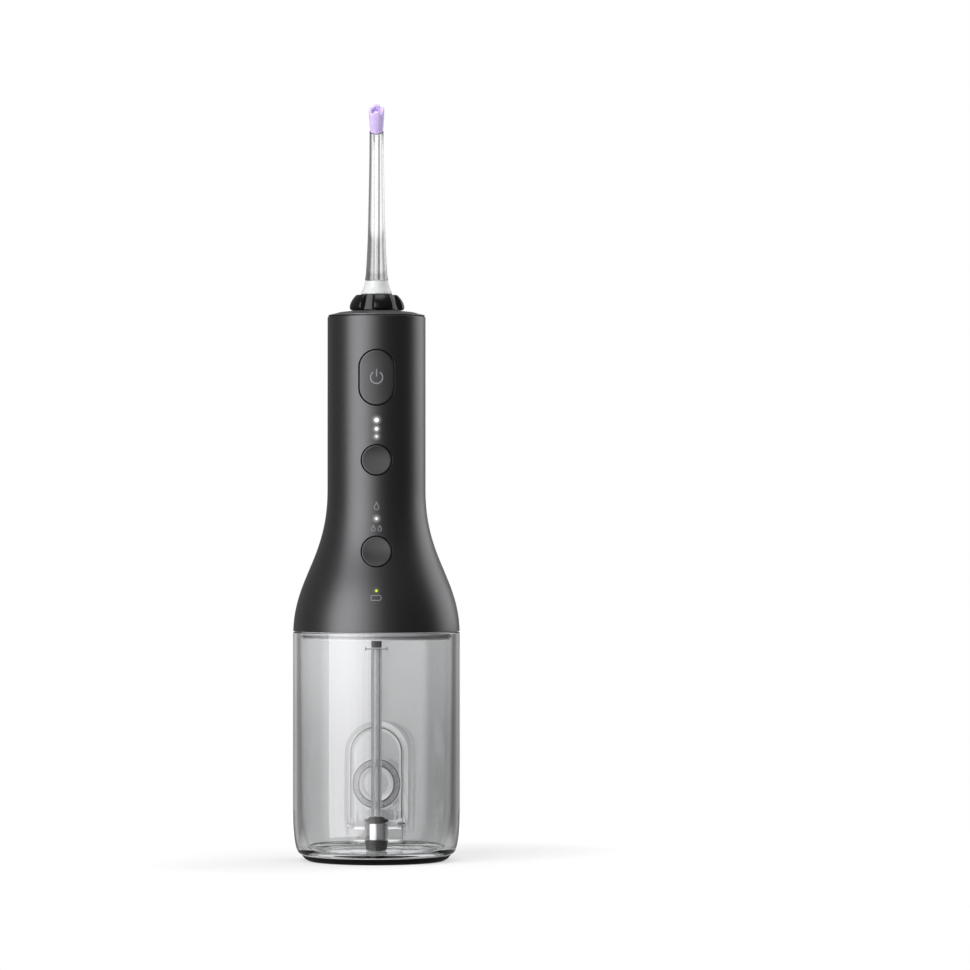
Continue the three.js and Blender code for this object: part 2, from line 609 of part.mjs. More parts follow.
function nozzleKnob() {
  const { low, under, top, r } = KNOB;
  const geometry = turnedGeometry([[3.9, under], [r - 0.7, under], [r, under + 0.8], [r, under + 1.2],
    [8.9, top - 0.4], [8.5, top], [4.75, top], [4.75, 222], [3.9, 222]], 40);
  const place = geometry.attributes.position;
  const period = 2 * Math.PI / KNOB.petals;
  for (let i = 0; i < place.count; i += 1) {
    const [x, y, z] = [place.getX(i), place.getY(i), place.getZ(i)];
    const radius = Math.hypot(x, y);
    if (radius < 7.5) continue;
    const fromPetal = Math.atan2(x, -y) - KNOB.firstPetal * Math.PI / 180;
    const turn = Math.abs(fromPetal / period - Math.round(fromPetal / period)) * 360 / KNOB.petals;
    const petal = 1 - THREE.MathUtils.smoothstep(turn, 17, 25);
    const target = THREE.MathUtils.lerp(Math.min(radius, valleyRadius(z)), radius, petal);
    place.setXY(i, x * target / radius, y * target / radius);
  }
  const stem = turned([[3.9, low], [5.9, low], [5.9, 212.6], [5.1, 212.6], [5.1, 214.4], [5.9, 214.4],
    [5.9, under + 1], [3.9, under + 1]], 20);
  return cut(join(solid(geometry), stem), rod('z', 3.9, low - 1, 223, [0, 0], 20));
}

function knobRetainer() {
  const open = Math.PI / 6;
  const shape = new THREE.Shape();
  shape.absarc(0, 0, 8, open, 2 * Math.PI - open, false);
  shape.absarc(0, 0, 5.4, 2 * Math.PI - open, open, true);
  return raised(shape, 212.9, 214.1);
}

// Bends a geometry that stands along Z forwards over an arc, above the height where the bend starts.
function bendForward(geometry) {
  const { bendZ, bendR, bend } = NOZZLE;
  const place = geometry.attributes.position;
  for (let i = 0; i < place.count; i += 1) {
    const run = place.getZ(i) - bendZ;
    if (run <= 0) continue;
    const angle = Math.min(run / bendR, bend);
    const beyond = run - angle * bendR;
    const y = place.getY(i);
    place.setY(i, -bendR * (1 - Math.cos(angle)) + y * Math.cos(angle) - beyond * Math.sin(angle));
    place.setZ(i, bendZ + bendR * Math.sin(angle) + y * Math.sin(angle) + beyond * Math.cos(angle));
  }
  return geometry;
}

function nozzleSkirt() {
  const { skirtTop, bore } = NOZZLE;
  const { r, low, collarR, collarLow, notchR, notchLow, notchHigh } = STEM;
  const base = KNOB.top + GAP;
  return turned([[bore, low], [r - 0.4, low], [r, low + 0.5], [r, 204.9], [2.6, 204.9], [2.6, 206.3],
    [r, 206.3], [r, notchLow], [notchR, notchLow], [notchR, notchHigh], [r, notchHigh],
    [r, collarLow], [collarR, collarLow], [collarR, base], [6.25, base], [6.2, base + 0.6],
    [5.3, base + 2.6], [4.75, skirtTop - 0.7], [4.6, skirtTop], [bore, skirtTop]]);
}

function nozzleTube() {
  const { skirtTop, bore, tip } = NOZZLE;
  const foot = skirtTop + GAP;
  const outline = [[bore, foot], [4.67, foot], [4.22, 235.5], [3.77, 243.5], [3.46, 251.5],
    [2.97, 275.5], [2.88, NOZZLE.bendZ], [2.86, 285.2], [2.85, 287.4], [2.84, 289.6],
    [2.82, tip - GAP], [1.7, tip - GAP], [1.7, tip + 1.6], [1.7, tip + 3.2], [bore, tip + 3.2],
    [bore, 291], [bore, 287], [bore, NOZZLE.bendZ]];
  return solid(bendForward(turnedGeometry(outline, 16)));
}

function nozzleTip() {
  const { tip, end } = NOZZLE;
  const body = turned([[2.05, tip], [2.55, tip], [2.75, tip + 4], [3, end - 2.2], [2.95, end - 0.6],
    [2.5, end], [1.5, end], [1.3, end - 2.2], [1, tip + 3.7], [2.05, tip + 3.7]], 16);
  const slots = [45, 135].map((angle) => solid(new THREE.BoxGeometry(9, 0.9, 4.4)
    .rotateZ(angle * Math.PI / 180).translate(0, 0, end)));
  return solid(bendForward(geometryOf(cut(body, ...slots))));
}

const nozzleRing = () => turned([[2.9, 205.2], [3.8, 205.2], [3.8, 206], [2.9, 206]]);

// ---- Charging port ------------------------------------------------------------------------------

function portCover() {
  const outline = oblong(PORT.halfWide, PORT.halfHigh, PORT.z);
  const form = pushedBack(outline, 8, 40).intersect(caseForm(0, 80, 230));
  return cut(form, caseForm(-PORT.cover, 70, 240));
}

function chargeSocket() {
  const { z, slotHalfWide, slotHalfHigh, back, bezel } = PORT;
  const slot = oblong(slotHalfWide, slotHalfHigh, z);
  const front = bezel - 0.6;
  return cut(
    join(
      pushedBack(oblong(PORT.halfWide, PORT.halfHigh, z, 0.5), bezel - 1.2, bezel, 3),
      pushedBack(oblong(slotHalfWide, slotHalfHigh, z, 0.8), back, front, 3),
    ),
    pushedBack(slot, back + 1, 40, 3),
  );
}

// ---- Assembly -----------------------------------------------------------------------------------

const flosser = new THREE.Group();

function add(name, body, material) {
  const mesh = new THREE.Mesh(geometryOf(body), material);
  mesh.name = name;
  flosser.add(mesh);
}

add('reservoir_shell', reservoirShell(), CLEAR);
add('foot_ring', footRing(), RUBBER_BLACK);
add('hinge_pin_left', hingePin(-1), STEEL);
add('hinge_pin_right', hingePin(1), STEEL);
add('fill_door', fillDoor(), CLEAR);
add('fill_plug_seal', fillPlugSeal(), SILICONE);

add('handle_casing', handleCasing(), SATIN_BLACK);
add('top_cap', topCap(), SATIN_BLACK);
add('spigot_plate', spigotPlate(), GREY_PLASTIC);
add('reservoir_gasket', reservoirGasket(), SILICONE);
add('suction_nipple', suctionNipple(), RUBBER_BLACK);
add('suction_tube', suctionTube(), SILICONE);
add('weight_flange', weightFlange(), GLOSS_BLACK);
add('weight_sleeve', weightSleeve(), CLEAR);
add('steel_weight', steelWeight(), STEEL);
add('filter_cup', filterCup(), GLOSS_BLACK);

for (const [name, control] of [['power', POWER], ['intensity', INTENSITY], ['mode', MODE]]) {
  add(`${name}_button`, button(control), BUTTON_BLACK);
  add(`${name}_switch`, tactSwitch(control), GREY_PLASTIC);
  add(`${name}_gasket`, buttonGasket(control), RUBBER_BLACK);
}
for (const [name, z, r] of LIGHTS) add(`light_guide_${name}`, lightGuide(z, r), LIGHT_GUIDE);

add('circuit_board', circuitBoard(), BOARD_GREEN);
BOARD_SCREW.heights.forEach((z, i) => add(`board_screw_${i + 1}`, boardScrew(z), STEEL));
add('chassis', chassis(), GREY_PLASTIC);
add('battery_cell', batteryCell(), CELL_BLUE);

add('motor_can', motorCan(), STEEL);
add('motor_end_cap', motorEndCap(), NYLON);
[-1, 1].forEach((side, i) => add(`motor_screw_${i + 1}`, motorScrew(side), STEEL));
add('motor_pinion', motorPinion(), STEEL);
add('drive_gear', driveGear(), NYLON);
add('gear_shaft', gearShaft(), STEEL);
add('connecting_rod', connectingRod(), NYLON);
add('piston', piston(), NYLON);
add('piston_seal', pistonSeal(), RUBBER_BLACK);
add('pump_cylinder', pumpCylinder(), WHITE_PLASTIC);
add('inlet_valve', inletValve(), SILICONE);
add('outlet_valve', outletValve(), SILICONE);
add('inlet_pipe', inletPipe(), SILICONE);
add('outlet_pipe', outletPipe(), SILICONE);
add('nozzle_socket', nozzleSocket(), WHITE_PLASTIC);

add('nozzle_knob', nozzleKnob(), GLOSS_BLACK);
add('knob_retainer', knobRetainer(), STEEL);
add('nozzle_skirt', nozzleSkirt(), WHITE_PLASTIC);
add('nozzle_tube', nozzleTube(), CLEAR);
add('nozzle_tip', nozzleTip(), LILAC);
add('nozzle_ring', nozzleRing(), RUBBER_BLACK);

add('charge_socket', chargeSocket(), STEEL);
add('port_cover', portCover(), RUBBER_BLACK);

export default flosser;
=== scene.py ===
"""Water flosser: a handle with its pump, motor and battery, standing on a clear reservoir.

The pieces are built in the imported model's frame. Sizes here are millimetres, and MM turns them into metres.
"""
import bisect
import math

import bmesh
import bpy
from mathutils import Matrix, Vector


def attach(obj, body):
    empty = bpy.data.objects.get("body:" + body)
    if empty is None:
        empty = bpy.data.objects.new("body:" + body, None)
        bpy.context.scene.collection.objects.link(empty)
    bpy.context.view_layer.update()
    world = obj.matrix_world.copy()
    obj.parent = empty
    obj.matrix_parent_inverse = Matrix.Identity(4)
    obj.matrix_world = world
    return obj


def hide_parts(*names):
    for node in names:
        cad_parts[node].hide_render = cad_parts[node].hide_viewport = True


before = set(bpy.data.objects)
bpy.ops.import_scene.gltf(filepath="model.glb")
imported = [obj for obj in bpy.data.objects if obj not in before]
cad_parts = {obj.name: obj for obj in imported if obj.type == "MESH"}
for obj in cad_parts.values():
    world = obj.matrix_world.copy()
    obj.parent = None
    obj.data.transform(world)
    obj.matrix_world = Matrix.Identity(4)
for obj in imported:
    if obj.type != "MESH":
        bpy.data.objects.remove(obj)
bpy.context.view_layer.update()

MM = 0.001
TAU = 2 * math.pi
FRONT = -1
BACK = 1

# ---- Sizes, as in the CAD model ----

GAP = 0.3
# Outside every wall, where the solids that cut or trim others end.
BEYOND = 40

TANK_R = 33.3
TANK_TOP = 91.3
TANK_WALL = 2.7
TANK_FLOOR = 2.0
CORNER_R = 2.9
CORNER_Z = 18
INNER_TAPER_Z = 63
INNER_CORNER_Z = 22
INNER_CORNER_HIGH = 17.4
INNER_CORNER_R = 3.2
FOOT_HEIGHT = 2.6
FOOT_INNER = 24.4

DOOR_HALF = 11.2
DOOR_ARCH_Z = 41.0
DOOR_LOW = 9.1
DOOR_SKIN = 2.0
DOOR_RIM = 1.8
POCKET_BACK = 25.5
POCKET_FRONT = 28.0
POCKET_LOW = 5.0
POCKET_EDGE = 2.1
PIN_Y = 30.3
PIN_Z = 10.8
PIN_R = 0.8
PIN_FROM = 9.4
PIN_TO = 12.6
BARREL_R = 1.7
BARREL_FROM = 8.6
SWEEP_R = 2.0
PLUG_Z = 28.9
FILL_R = 10.5
BOSS_R = 7.0
SEAL_R = 10.0

NECK_R = 19.6
CASE_LOW = 91.6
FLARE_LOW = 90
FLARE_END = 148
CASE_TOP = 217.2
CASE_WALL = 1.8

POWER = {"z": 192.4, "wide": 6.8, "high": 10.85, "dish": 0.5}
INTENSITY = {"z": 159.7, "wide": 5.85, "high": 5.85, "dish": 0.95}
MODE = {"z": 123.5, "wide": 5.85, "high": 5.85, "dish": 0.9}
BUTTON_GAP = 0.4
BUTTON_PROUD = 0.12
HOLE_EDGE = 0.15

LIGHTS = {
    "high": (175.5, 0.9),
    "medium": (172.0, 0.8),
    "low": (169.0, 0.7),
    "mode": (136.5, 0.8),
    "battery": (108.1, 0.7),
}

LENS_GAP = 0.03

PORT = {"z": 130, "wide": 7, "high": 4.4}

KNOB_TOP = 225.9
PETALS = 5
FIRST_PETAL = 16
NOZZLE_BORE = 0.9
SKIRT_TOP = 231.5
BEND_Z = 283
BEND_R = 16
BEND = 0.7
TIP_LOW = 292
TIP_END = 302.9
NOTCH = 1.5

HOSE_R = 2.15
HOSE_BORE = 1.15
HOSE_LOW = 17.4
HOSE_HIGH = 84.6

# ---- Camera ----


def make_camera():
    data = bpy.data.cameras.new("camera")
    data.sensor_width = 36
    data.lens = 167
    camera = bpy.data.objects.new("camera", data)
    bpy.context.scene.collection.objects.link(camera)
    camera.location = (0, -1.8, 0.132)
    target = Vector((0.0434, 0, 0.150))
    camera.rotation_euler = (target - camera.location).to_track_quat("-Z", "Y").to_euler()
    bpy.context.scene.camera = camera


# ---- Mesh helpers ----

# An edge sharper than this angle in degrees stays sharp.
SHARP = 34


def smoothstep(x, low, high):
    t = min(max((x - low) / (high - low), 0), 1)
    return t * t * (3 - 2 * t)


def fillet(points, loop=True, steps=5):
    """An outline of (x, y) or (x, y, radius) corners, with those that have a radius rounded."""
    out = []
    for i, point in enumerate(points):
        corner = Vector(point[:2])
        if len(point) < 3 or (not loop and i in (0, len(points) - 1)):
            out.append(tuple(corner))
            continue
        before = Vector(points[i - 1][:2]) - corner
        after = Vector(points[(i + 1) % len(points)][:2]) - corner
        half = before.angle(after) / 2
        reach = min(point[2] / math.tan(half), before.length * 0.49, after.length * 0.49)
        start = corner + before.normalized() * reach
        end = corner + after.normalized() * reach
        for k in range(steps + 1):
            t = k / steps
            blend = start.lerp(corner, t).lerp(corner.lerp(end, t), t)
            out.append(tuple(blend))
    return out


def spline(points, step=1.0):
    """A smooth line through the points, by Catmull-Rom, with a point about every step."""
    out = []
    for i in range(len(points) - 1):
        p1 = Vector(points[i])
        p2 = Vector(points[i + 1])
        p0 = Vector(points[i - 1]) if i else p1 * 2 - p2
        p3 = Vector(points[i + 2]) if i + 2 < len(points) else p2 * 2 - p1
        count = max(1, round((p2 - p1).length / step))
        for k in range(count):
            t = k / count
            out.append(tuple(0.5 * (
                2 * p1 + (p2 - p0) * t + (2 * p0 - 5 * p1 + 4 * p2 - p3) * t ** 2
                + (3 * p1 - p0 - 3 * p2 + p3) * t ** 3)))
    out.append(tuple(points[-1]))
    return out


def new_piece(name, verts, faces):
    """A mesh object from points in millimetres, with its faces turned outwards."""
    mesh = bpy.data.meshes.new(name)
    mesh.from_pydata([[MM * c for c in v] for v in verts], [], faces)
    work = bmesh.new()
    work.from_mesh(mesh)
    bmesh.ops.recalc_face_normals(work, faces=work.faces)
    work.to_mesh(mesh)
    work.free()
    piece = bpy.data.objects.new(name, mesh)
    bpy.context.scene.collection.objects.link(piece)
    return piece


def lathe(outline, count=128, loop=True, change=None):
    """Points and faces of an outline of (radius, height) turned about Z.

    change(radius, height, angle) may give each point another radius. Angle 0 faces the front.
    """
    verts = []
    rings = []
    for r, z in outline:
        first = len(verts)
        if r < 1e-6:
            verts.append((0, 0, z))
            rings.append([first])
            continue
        for i in range(count):
            angle = TAU * i / count
            radius = change(r, z, angle) if change else r
            verts.append((radius * math.sin(angle), -radius * math.cos(angle), z))
        rings.append(range(first, first + count))
    faces = bridge(rings, loop)
    return verts, faces


def bridge(rings, loop=False):
    """The faces between neighbouring rings of vertex numbers. A ring of one vertex is a pole."""
    faces = []
    for i in range(len(rings) - (0 if loop else 1)):
        a, b = rings[i], rings[(i + 1) % len(rings)]
        count = max(len(a), len(b))
        for j in range(count):
            k = (j + 1) % count
            if len(a) == 1 and len(b) == 1:
                continue
            if len(a) == 1:
                faces.append((a[0], b[k], b[j]))
            elif len(b) == 1:
                faces.append((a[j], a[k], b[0]))
            else:
                faces.append((a[j], a[k], b[k], b[j]))
    return faces


def loft(name, outlines, loop=False):
    """A closed solid through outlines of the same number of points, capped at both ends or looped."""
    verts = [p for outline in outlines for p in outline]
    count = len(outlines[0])
    rings = [range(i * count, (i + 1) * count) for i in range(len(outlines))]
    faces = bridge(rings, loop)
    if not loop:
        faces += [tuple(rings[0]), tuple(rings[-1])]
    return new_piece(name, verts, faces)


def turned(name, outline, count=128, loop=True, change=None, place=None):
    verts, faces = lathe(outline, count, loop, change)
    if place:
        verts = [place(*v) for v in verts]
    return new_piece(name, verts, faces)


def rod_x(name, r, start, end):
    """A rod along the door's hinge line, with rounded ends."""
    edge = min(0.25, r * 0.4)
    outline = fillet([(0, start), (r, start, edge), (r, end, edge), (0, end)], loop=False)
    return turned(name, outline, 48, False, place=lambda a, b, c: (c, PIN_Y + a, PIN_Z + b))


def rod_y(name, outline, z, count=64, loop=False, side=FRONT):
    """An outline of (radius, depth) turned about the line along Y at a height. Depth grows along side."""
    return turned(name, outline, count, loop, place=lambda a, b, c: (a, side * c, z + b))


def carve(target, *tools, operation="DIFFERENCE"):
    """Applies exact booleans to target and deletes the tools."""
    for tool in tools:
        modifier = target.modifiers.new("carve", "BOOLEAN")
        modifier.operation = operation
        modifier.solver = "EXACT"
        modifier.object = tool
    graph = bpy.context.evaluated_depsgraph_get()
    mesh = bpy.data.meshes.new_from_object(target.evaluated_get(graph))
    target.modifiers.clear()
    old = target.data
    target.data = mesh
    bpy.data.meshes.remove(old)
    for tool in tools:
        discard(tool)


def discard(piece):
    mesh = piece.data
    bpy.data.objects.remove(piece)
    bpy.data.meshes.remove(mesh)


def merged(target, *others):
    """Adds the other pieces' meshes to target as they are, and deletes them."""
    work = bmesh.new()
    work.from_mesh(target.data)
    for other in others:
        work.from_mesh(other.data)
        discard(other)
    work.to_mesh(target.data)
    work.free()
    return target


def shade(piece, sharp=SHARP):
    """Smooth shading, with edges sharper than an angle kept sharp and flat faces shaded flat."""
    piece.data.shade_smooth()
    piece.data.set_sharp_from_angle(angle=math.radians(sharp))
    modifier = piece.modifiers.new("normals", "WEIGHTED_NORMAL")
    modifier.keep_sharp = True
    return piece


def shade_turned(piece, surfaces):
    """Smooth shading with exact normals on turned surfaces, so that cuts leave no uneven shading.

    surfaces holds (radius at a height, 1 outside or -1 inside).
    """
    mesh = piece.data
    mesh.shade_smooth()
    mesh.set_sharp_from_angle(angle=math.radians(SHARP))
    normals = [corner.vector.copy() for corner in mesh.corner_normals]
    reach = 0.05
    for face in mesh.polygons:
        for corner in face.loop_indices:
            x, y, z = mesh.vertices[mesh.loops[corner].vertex_index].co / MM
            r = math.hypot(x, y)
            for radius_at, facing in surfaces:
                if r < 1 or abs(r - radius_at(z)) > 0.015:
                    continue
                slope = (radius_at(z + reach) - radius_at(z - reach)) / (2 * reach)
                exact = Vector((x / r, y / r, -slope)).normalized() * facing
                if exact.dot(face.normal) > 0.8:
                    normals[corner] = exact
                    break
    mesh.normals_split_custom_set(normals)
    return piece


def finish(piece, material, body, replaces=()):
    piece.data.materials.clear()
    piece.data.materials.append(material)
    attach(piece, body)
    if replaces:
        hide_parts(*replaces)


def turned_part(name, outline, count, material, body, slot, node, sharp=SHARP, **options):
    """A turned piece that stands for a CAD node."""
    piece = shade(turned(name, outline, count, **options), sharp)
    finish(piece, material, body, [node])
    return piece


# ---- Materials ----


class Tree:
    """A node tree, with helpers for its nodes."""

    def __init__(self, tree):
        self.nodes = tree.nodes
        self.links = tree.links

    def node(self, kind, **settings):
        made = self.nodes.new(kind)
        for key, value in settings.items():
            setattr(made, key, value)
        return made

    def fill(self, sockets, values):
        """Links each socket to its output, or sets it to its value."""
        for socket, value in zip(sockets, values):
            if isinstance(value, bpy.types.NodeSocket):
                self.links.new(value, socket)
            else:
                socket.default_value = value

    def math(self, operation, a, b=0.0):
        made = self.node("ShaderNodeMath", operation=operation)
        self.fill(made.inputs, (a, b))
        return made.outputs[0]

    def span(self, value, start, end, low, high, kind="SMOOTHSTEP"):
        """value from start..end spread over low..high."""
        made = self.node("ShaderNodeMapRange", interpolation_type=kind)
        self.fill(made.inputs, (value, start, end, low, high))
        return made.outputs["Result"]


class Shader(Tree):
    """A material, with its Principled shader."""

    def __init__(self, name, **values):
        self.material = bpy.data.materials.new(name)
        self.material.use_nodes = True
        super().__init__(self.material.node_tree)
        self.surface = self.nodes["Principled BSDF"]
        for socket, value in values.items():
            if isinstance(value, tuple):
                value = (*value, 1)
            self.surface.inputs[socket.replace("_", " ")].default_value = value
        self.place = self.node("ShaderNodeTexCoord").outputs["Object"]

    def noise(self, scale, detail=3.0, stretch=None):
        """Noise at a scale in cycles per metre. stretch scales each axis."""
        made = self.node("ShaderNodeTexNoise")
        made.inputs["Scale"].default_value = scale
        made.inputs["Detail"].default_value = detail
        source = self.place
        if stretch:
            mapping = self.node("ShaderNodeMapping")
            mapping.inputs["Scale"].default_value = stretch
            self.links.new(source, mapping.inputs["Vector"])
            source = mapping.outputs["Vector"]
        self.links.new(source, made.inputs["Vector"])
        return made.outputs["Fac"]

    def vary_roughness(self, scale, low, high, stretch=None):
        spread = self.span(self.noise(scale, 4, stretch), 0, 1, low, high, "LINEAR")
        self.links.new(spread, self.surface.inputs["Roughness"])

    def vary_colour(self, scale, a, b, stretch=None):
        mix = self.node("ShaderNodeMix", data_type="RGBA")
        mix.inputs["A"].default_value = (*a, 1)
        mix.inputs["B"].default_value = (*b, 1)
        self.links.new(self.noise(scale, 3, stretch), mix.inputs["Factor"])
        self.links.new(mix.outputs["Result"], self.surface.inputs["Base Color"])

    def grain(self, scale, depth, detail=2.0, stretch=None):
        """Fine relief of a depth in metres."""
        bump = self.node("ShaderNodeBump")
        bump.inputs["Strength"].default_value = 1.0
        bump.inputs["Distance"].default_value = depth
        self.links.new(self.noise(scale, detail, stretch), bump.inputs["Height"])
        self.links.new(bump.outputs["Normal"], self.surface.inputs["Normal"])


def satin_black(name, grey=0.008):
    s = Shader(name, Base_Color=(grey, grey, grey * 1.05), IOR=1.66)
    s.vary_roughness(900, 0.34, 0.42)
    s.vary_colour(60, (grey * 0.88, grey * 0.88, grey * 0.92), (grey * 1.14, grey * 1.14, grey * 1.2))
    s.grain(2600, 0.000012)
    return s


# Each light's core radius in millimetres and strength, the strength and reach of its halo, and its colour.
WHITE = (1.0, 1.0, 1.0)
YELLOW_GREEN = (0.78, 0.92, 0.05)
GLOWS = {
    "high": (0.68, 2.0, 0.75, 1.1, WHITE),
    "medium": (0.54, 1.7, 0.62, 1.0, WHITE),
    "low": (0.34, 1.1, 0.5, 0.98, WHITE),
    "mode": (0.36, 1.1, 0.55, 1.0, WHITE),
    "battery": (0.45, 0.9, 0.22, 0.85, YELLOW_GREEN),
}


# A core fades from full to nothing between these shares of its radius.
CORE_EDGE = (0.75, 1.3)


def lit(s):
    """Adds the lights' glow, which fades with the distance from each light."""
    total = None
    for light, (core, strength, halo, reach, colour) in GLOWS.items():
        z = LIGHTS[light][0]
        centre = s.node("ShaderNodeVectorMath", operation="DISTANCE")
        s.fill(centre.inputs, (s.place, (0, MM * wall_y(0, z, FRONT), MM * z)))
        away = s.math("DIVIDE", centre.outputs["Value"], MM * reach)
        fall = s.math("MULTIPLY", s.math("POWER", away, 2.0), -1.0)
        around = s.math("MULTIPLY", s.math("EXPONENT", fall), halo)
        fade = [MM * core * share for share in CORE_EDGE]
        disc = s.span(centre.outputs["Value"], *fade, strength, 0)
        power = s.math("ADD", around, disc)
        tint = s.node("ShaderNodeVectorMath", operation="SCALE")
        tint.inputs[0].default_value = colour
        s.links.new(power, tint.inputs["Scale"])
        if total is None:
            total = tint.outputs[0]
            continue
        add = s.node("ShaderNodeVectorMath", operation="ADD")
        s.fill(add.inputs, (total, tint.outputs[0]))
        total = add.outputs[0]
    s.links.new(total, s.surface.inputs["Emission Color"])
    s.surface.inputs["Emission Strength"].default_value = 1.0
    return s


def casing_black():
    """Satin black, through which the lights glow a little round their lenses."""
    return lit(satin_black("casing_black"))


def light_lens():
    s = Shader("light_lens", Base_Color=(0.02, 0.02, 0.02))
    s.vary_roughness(800, 0.2, 0.3)
    s.vary_colour(500, (0.016, 0.016, 0.016), (0.024, 0.024, 0.024))
    return lit(s)


def button_black():
    s = Shader("button_black", Base_Color=(0.010, 0.010, 0.0104), IOR=1.66)
    s.vary_roughness(1200, 0.37, 0.45)
    s.vary_colour(90, (0.009, 0.009, 0.0093), (0.0115, 0.0115, 0.012))
    s.grain(3000, 0.00001)
    return s


def gloss_black():
    s = Shader("gloss_black", Base_Color=(0.006, 0.006, 0.0062), IOR=1.42)
    s.vary_roughness(400, 0.20, 0.27)
    s.vary_colour(80, (0.004, 0.004, 0.0042), (0.006, 0.006, 0.0063))
    s.grain(500, 0.000004)
    return s


def rubber_black():
    s = Shader("rubber_black", Base_Color=(0.006, 0.006, 0.006), Specular_IOR_Level=0.25)
    s.vary_roughness(1500, 0.5, 0.66)
    s.vary_colour(200, (0.005, 0.005, 0.005), (0.008, 0.008, 0.008))
    s.grain(2200, 0.00003)
    return s


def clear_plastic(name, tint, ior, relief=0.000004):
    s = Shader(name, Base_Color=tint, IOR=ior, Transmission_Weight=1.0)
    s.vary_roughness(150, 0.0, 0.02)
    if relief:
        s.grain(70, relief, detail=1.0)
    return s


def white_plastic():
    s = Shader("white_plastic", Base_Color=(0.55, 0.565, 0.55), IOR=1.5, Subsurface_Weight=0.6)
    s.surface.inputs["Subsurface Radius"].default_value = (0.002, 0.002, 0.002)
    s.vary_roughness(700, 0.30, 0.40)
    s.vary_colour(150, (0.53, 0.545, 0.53), (0.57, 0.585, 0.57))
    s.grain(1500, 0.00001)
    return s


def grey_plastic():
    s = Shader("grey_plastic", Base_Color=(0.46, 0.46, 0.465), IOR=1.5)
    s.vary_roughness(700, 0.26, 0.36)
    s.vary_colour(120, (0.44, 0.44, 0.445), (0.48, 0.48, 0.485))
    s.grain(1800, 0.000012)
    return s


def lilac_silicone():
    s = Shader("lilac_silicone", Base_Color=(0.60, 0.49, 0.80), IOR=1.42, Subsurface_Weight=0.6)
    s.surface.inputs["Subsurface Radius"].default_value = (0.0016, 0.0014, 0.0018)
    s.vary_roughness(900, 0.40, 0.52)
    s.vary_colour(250, (0.58, 0.47, 0.78), (0.63, 0.52, 0.82))
    s.grain(1600, 0.000004)
    return s


def clear_silicone(name="clear_silicone", tint=(0.86, 0.87, 0.88), roughness=0.16):
    s = Shader(name, Base_Color=tint, IOR=1.42, Transmission_Weight=1.0)
    s.vary_roughness(700, roughness, roughness + 0.08)
    s.grain(400, 0.00001, detail=1.0)
    return s


def seal_silicone():
    """Milky grey silicone of the fill plug's seal."""
    s = Shader("seal_silicone", Base_Color=(0.66, 0.66, 0.67), IOR=1.42, Transmission_Weight=0.7)
    s.vary_roughness(700, 0.10, 0.18)
    s.vary_colour(300, (0.64, 0.64, 0.65), (0.69, 0.69, 0.70))
    s.grain(900, 0.00001)
    return s


def steel():
    s = Shader("steel", Base_Color=(0.62, 0.62, 0.63), Metallic=1.0)
    s.vary_roughness(500, 0.08, 0.16, stretch=(1, 1, 14))
    s.vary_colour(300, (0.58, 0.58, 0.59), (0.66, 0.66, 0.67), stretch=(1, 1, 10))
    s.grain(900, 0.000002, stretch=(1, 1, 12))
    return s


def print_ink(name, colour):
    s = Shader(name, Base_Color=colour)
    s.vary_roughness(900, 0.4, 0.55)
    s.vary_colour(700, tuple(c * 0.92 for c in colour), tuple(min(1, c * 1.06) for c in colour))
    s.grain(2000, 0.000005)
    return s


def plain(name, colour, roughness):
    """A plain moulded or machined finish."""
    s = Shader(name, Base_Color=colour)
    s.vary_roughness(600, roughness - 0.05, roughness + 0.07)
    s.vary_colour(200, tuple(c * 0.9 for c in colour), tuple(min(1, c * 1.08) for c in colour))
    s.grain(1800, 0.00001)
    return s


# ---- The handle's outer form ----

FLARE = [(TANK_R, FLARE_LOW), (TANK_R, 113), (NECK_R, 120), (NECK_R, FLARE_END)]
FLARE_STEPS = 600


def flare_point(t):
    weights = ((1 - t) ** 3, 3 * t * (1 - t) ** 2, 3 * t ** 2 * (1 - t), t ** 3)
    return tuple(sum(w * p[axis] for w, p in zip(weights, FLARE)) for axis in (1, 0))


FLARE_TABLE = [flare_point(i / FLARE_STEPS) for i in range(FLARE_STEPS + 1)]


def case_radius(z):
    """Radius of the casing's outside at a height."""
    if z <= FLARE_TABLE[0][0]:
        return TANK_R
    if z >= FLARE_END:
        return NECK_R
    i = bisect.bisect_right(FLARE_TABLE, (z, 0))
    (z0, r0), (z1, r1) = FLARE_TABLE[i - 1], FLARE_TABLE[i]
    return r0 + (r1 - r0) * (z - z0) / (z1 - z0)


def wall_y(x, z, side):
    """Y of the casing's outside, at its front or back."""
    r = case_radius(z)
    return side * math.sqrt(max(r * r - x * x, 0))


def oblong(wide, high, z, grow=0, count=96):
    """Points (x, z) of an upright oblong with round ends, anticlockwise from the right."""
    r = min(wide, high) + grow
    dx = wide + grow - r
    dz = high + grow - r
    points = []
    for i in range(count):
        angle = TAU * (i + 0.5) / count
        c, s = math.cos(angle), math.sin(angle)
        points.append((r * c + math.copysign(dx, c), z + r * s + math.copysign(dz, s)))
    return points


def on_wall(points, side, depth):
    """Points (x, z) put on the casing's wall, a depth below its outside."""
    return [(x, wall_y(x, z, side) - side * depth, z) for x, z in points]


def hole_cutter(wide, high, z, side, grow):
    outline = oblong(wide, high, z, grow)
    return loft("cutter", [[(x, side * 8, v) for x, v in outline], [(x, side * 45, v) for x, v in outline]])


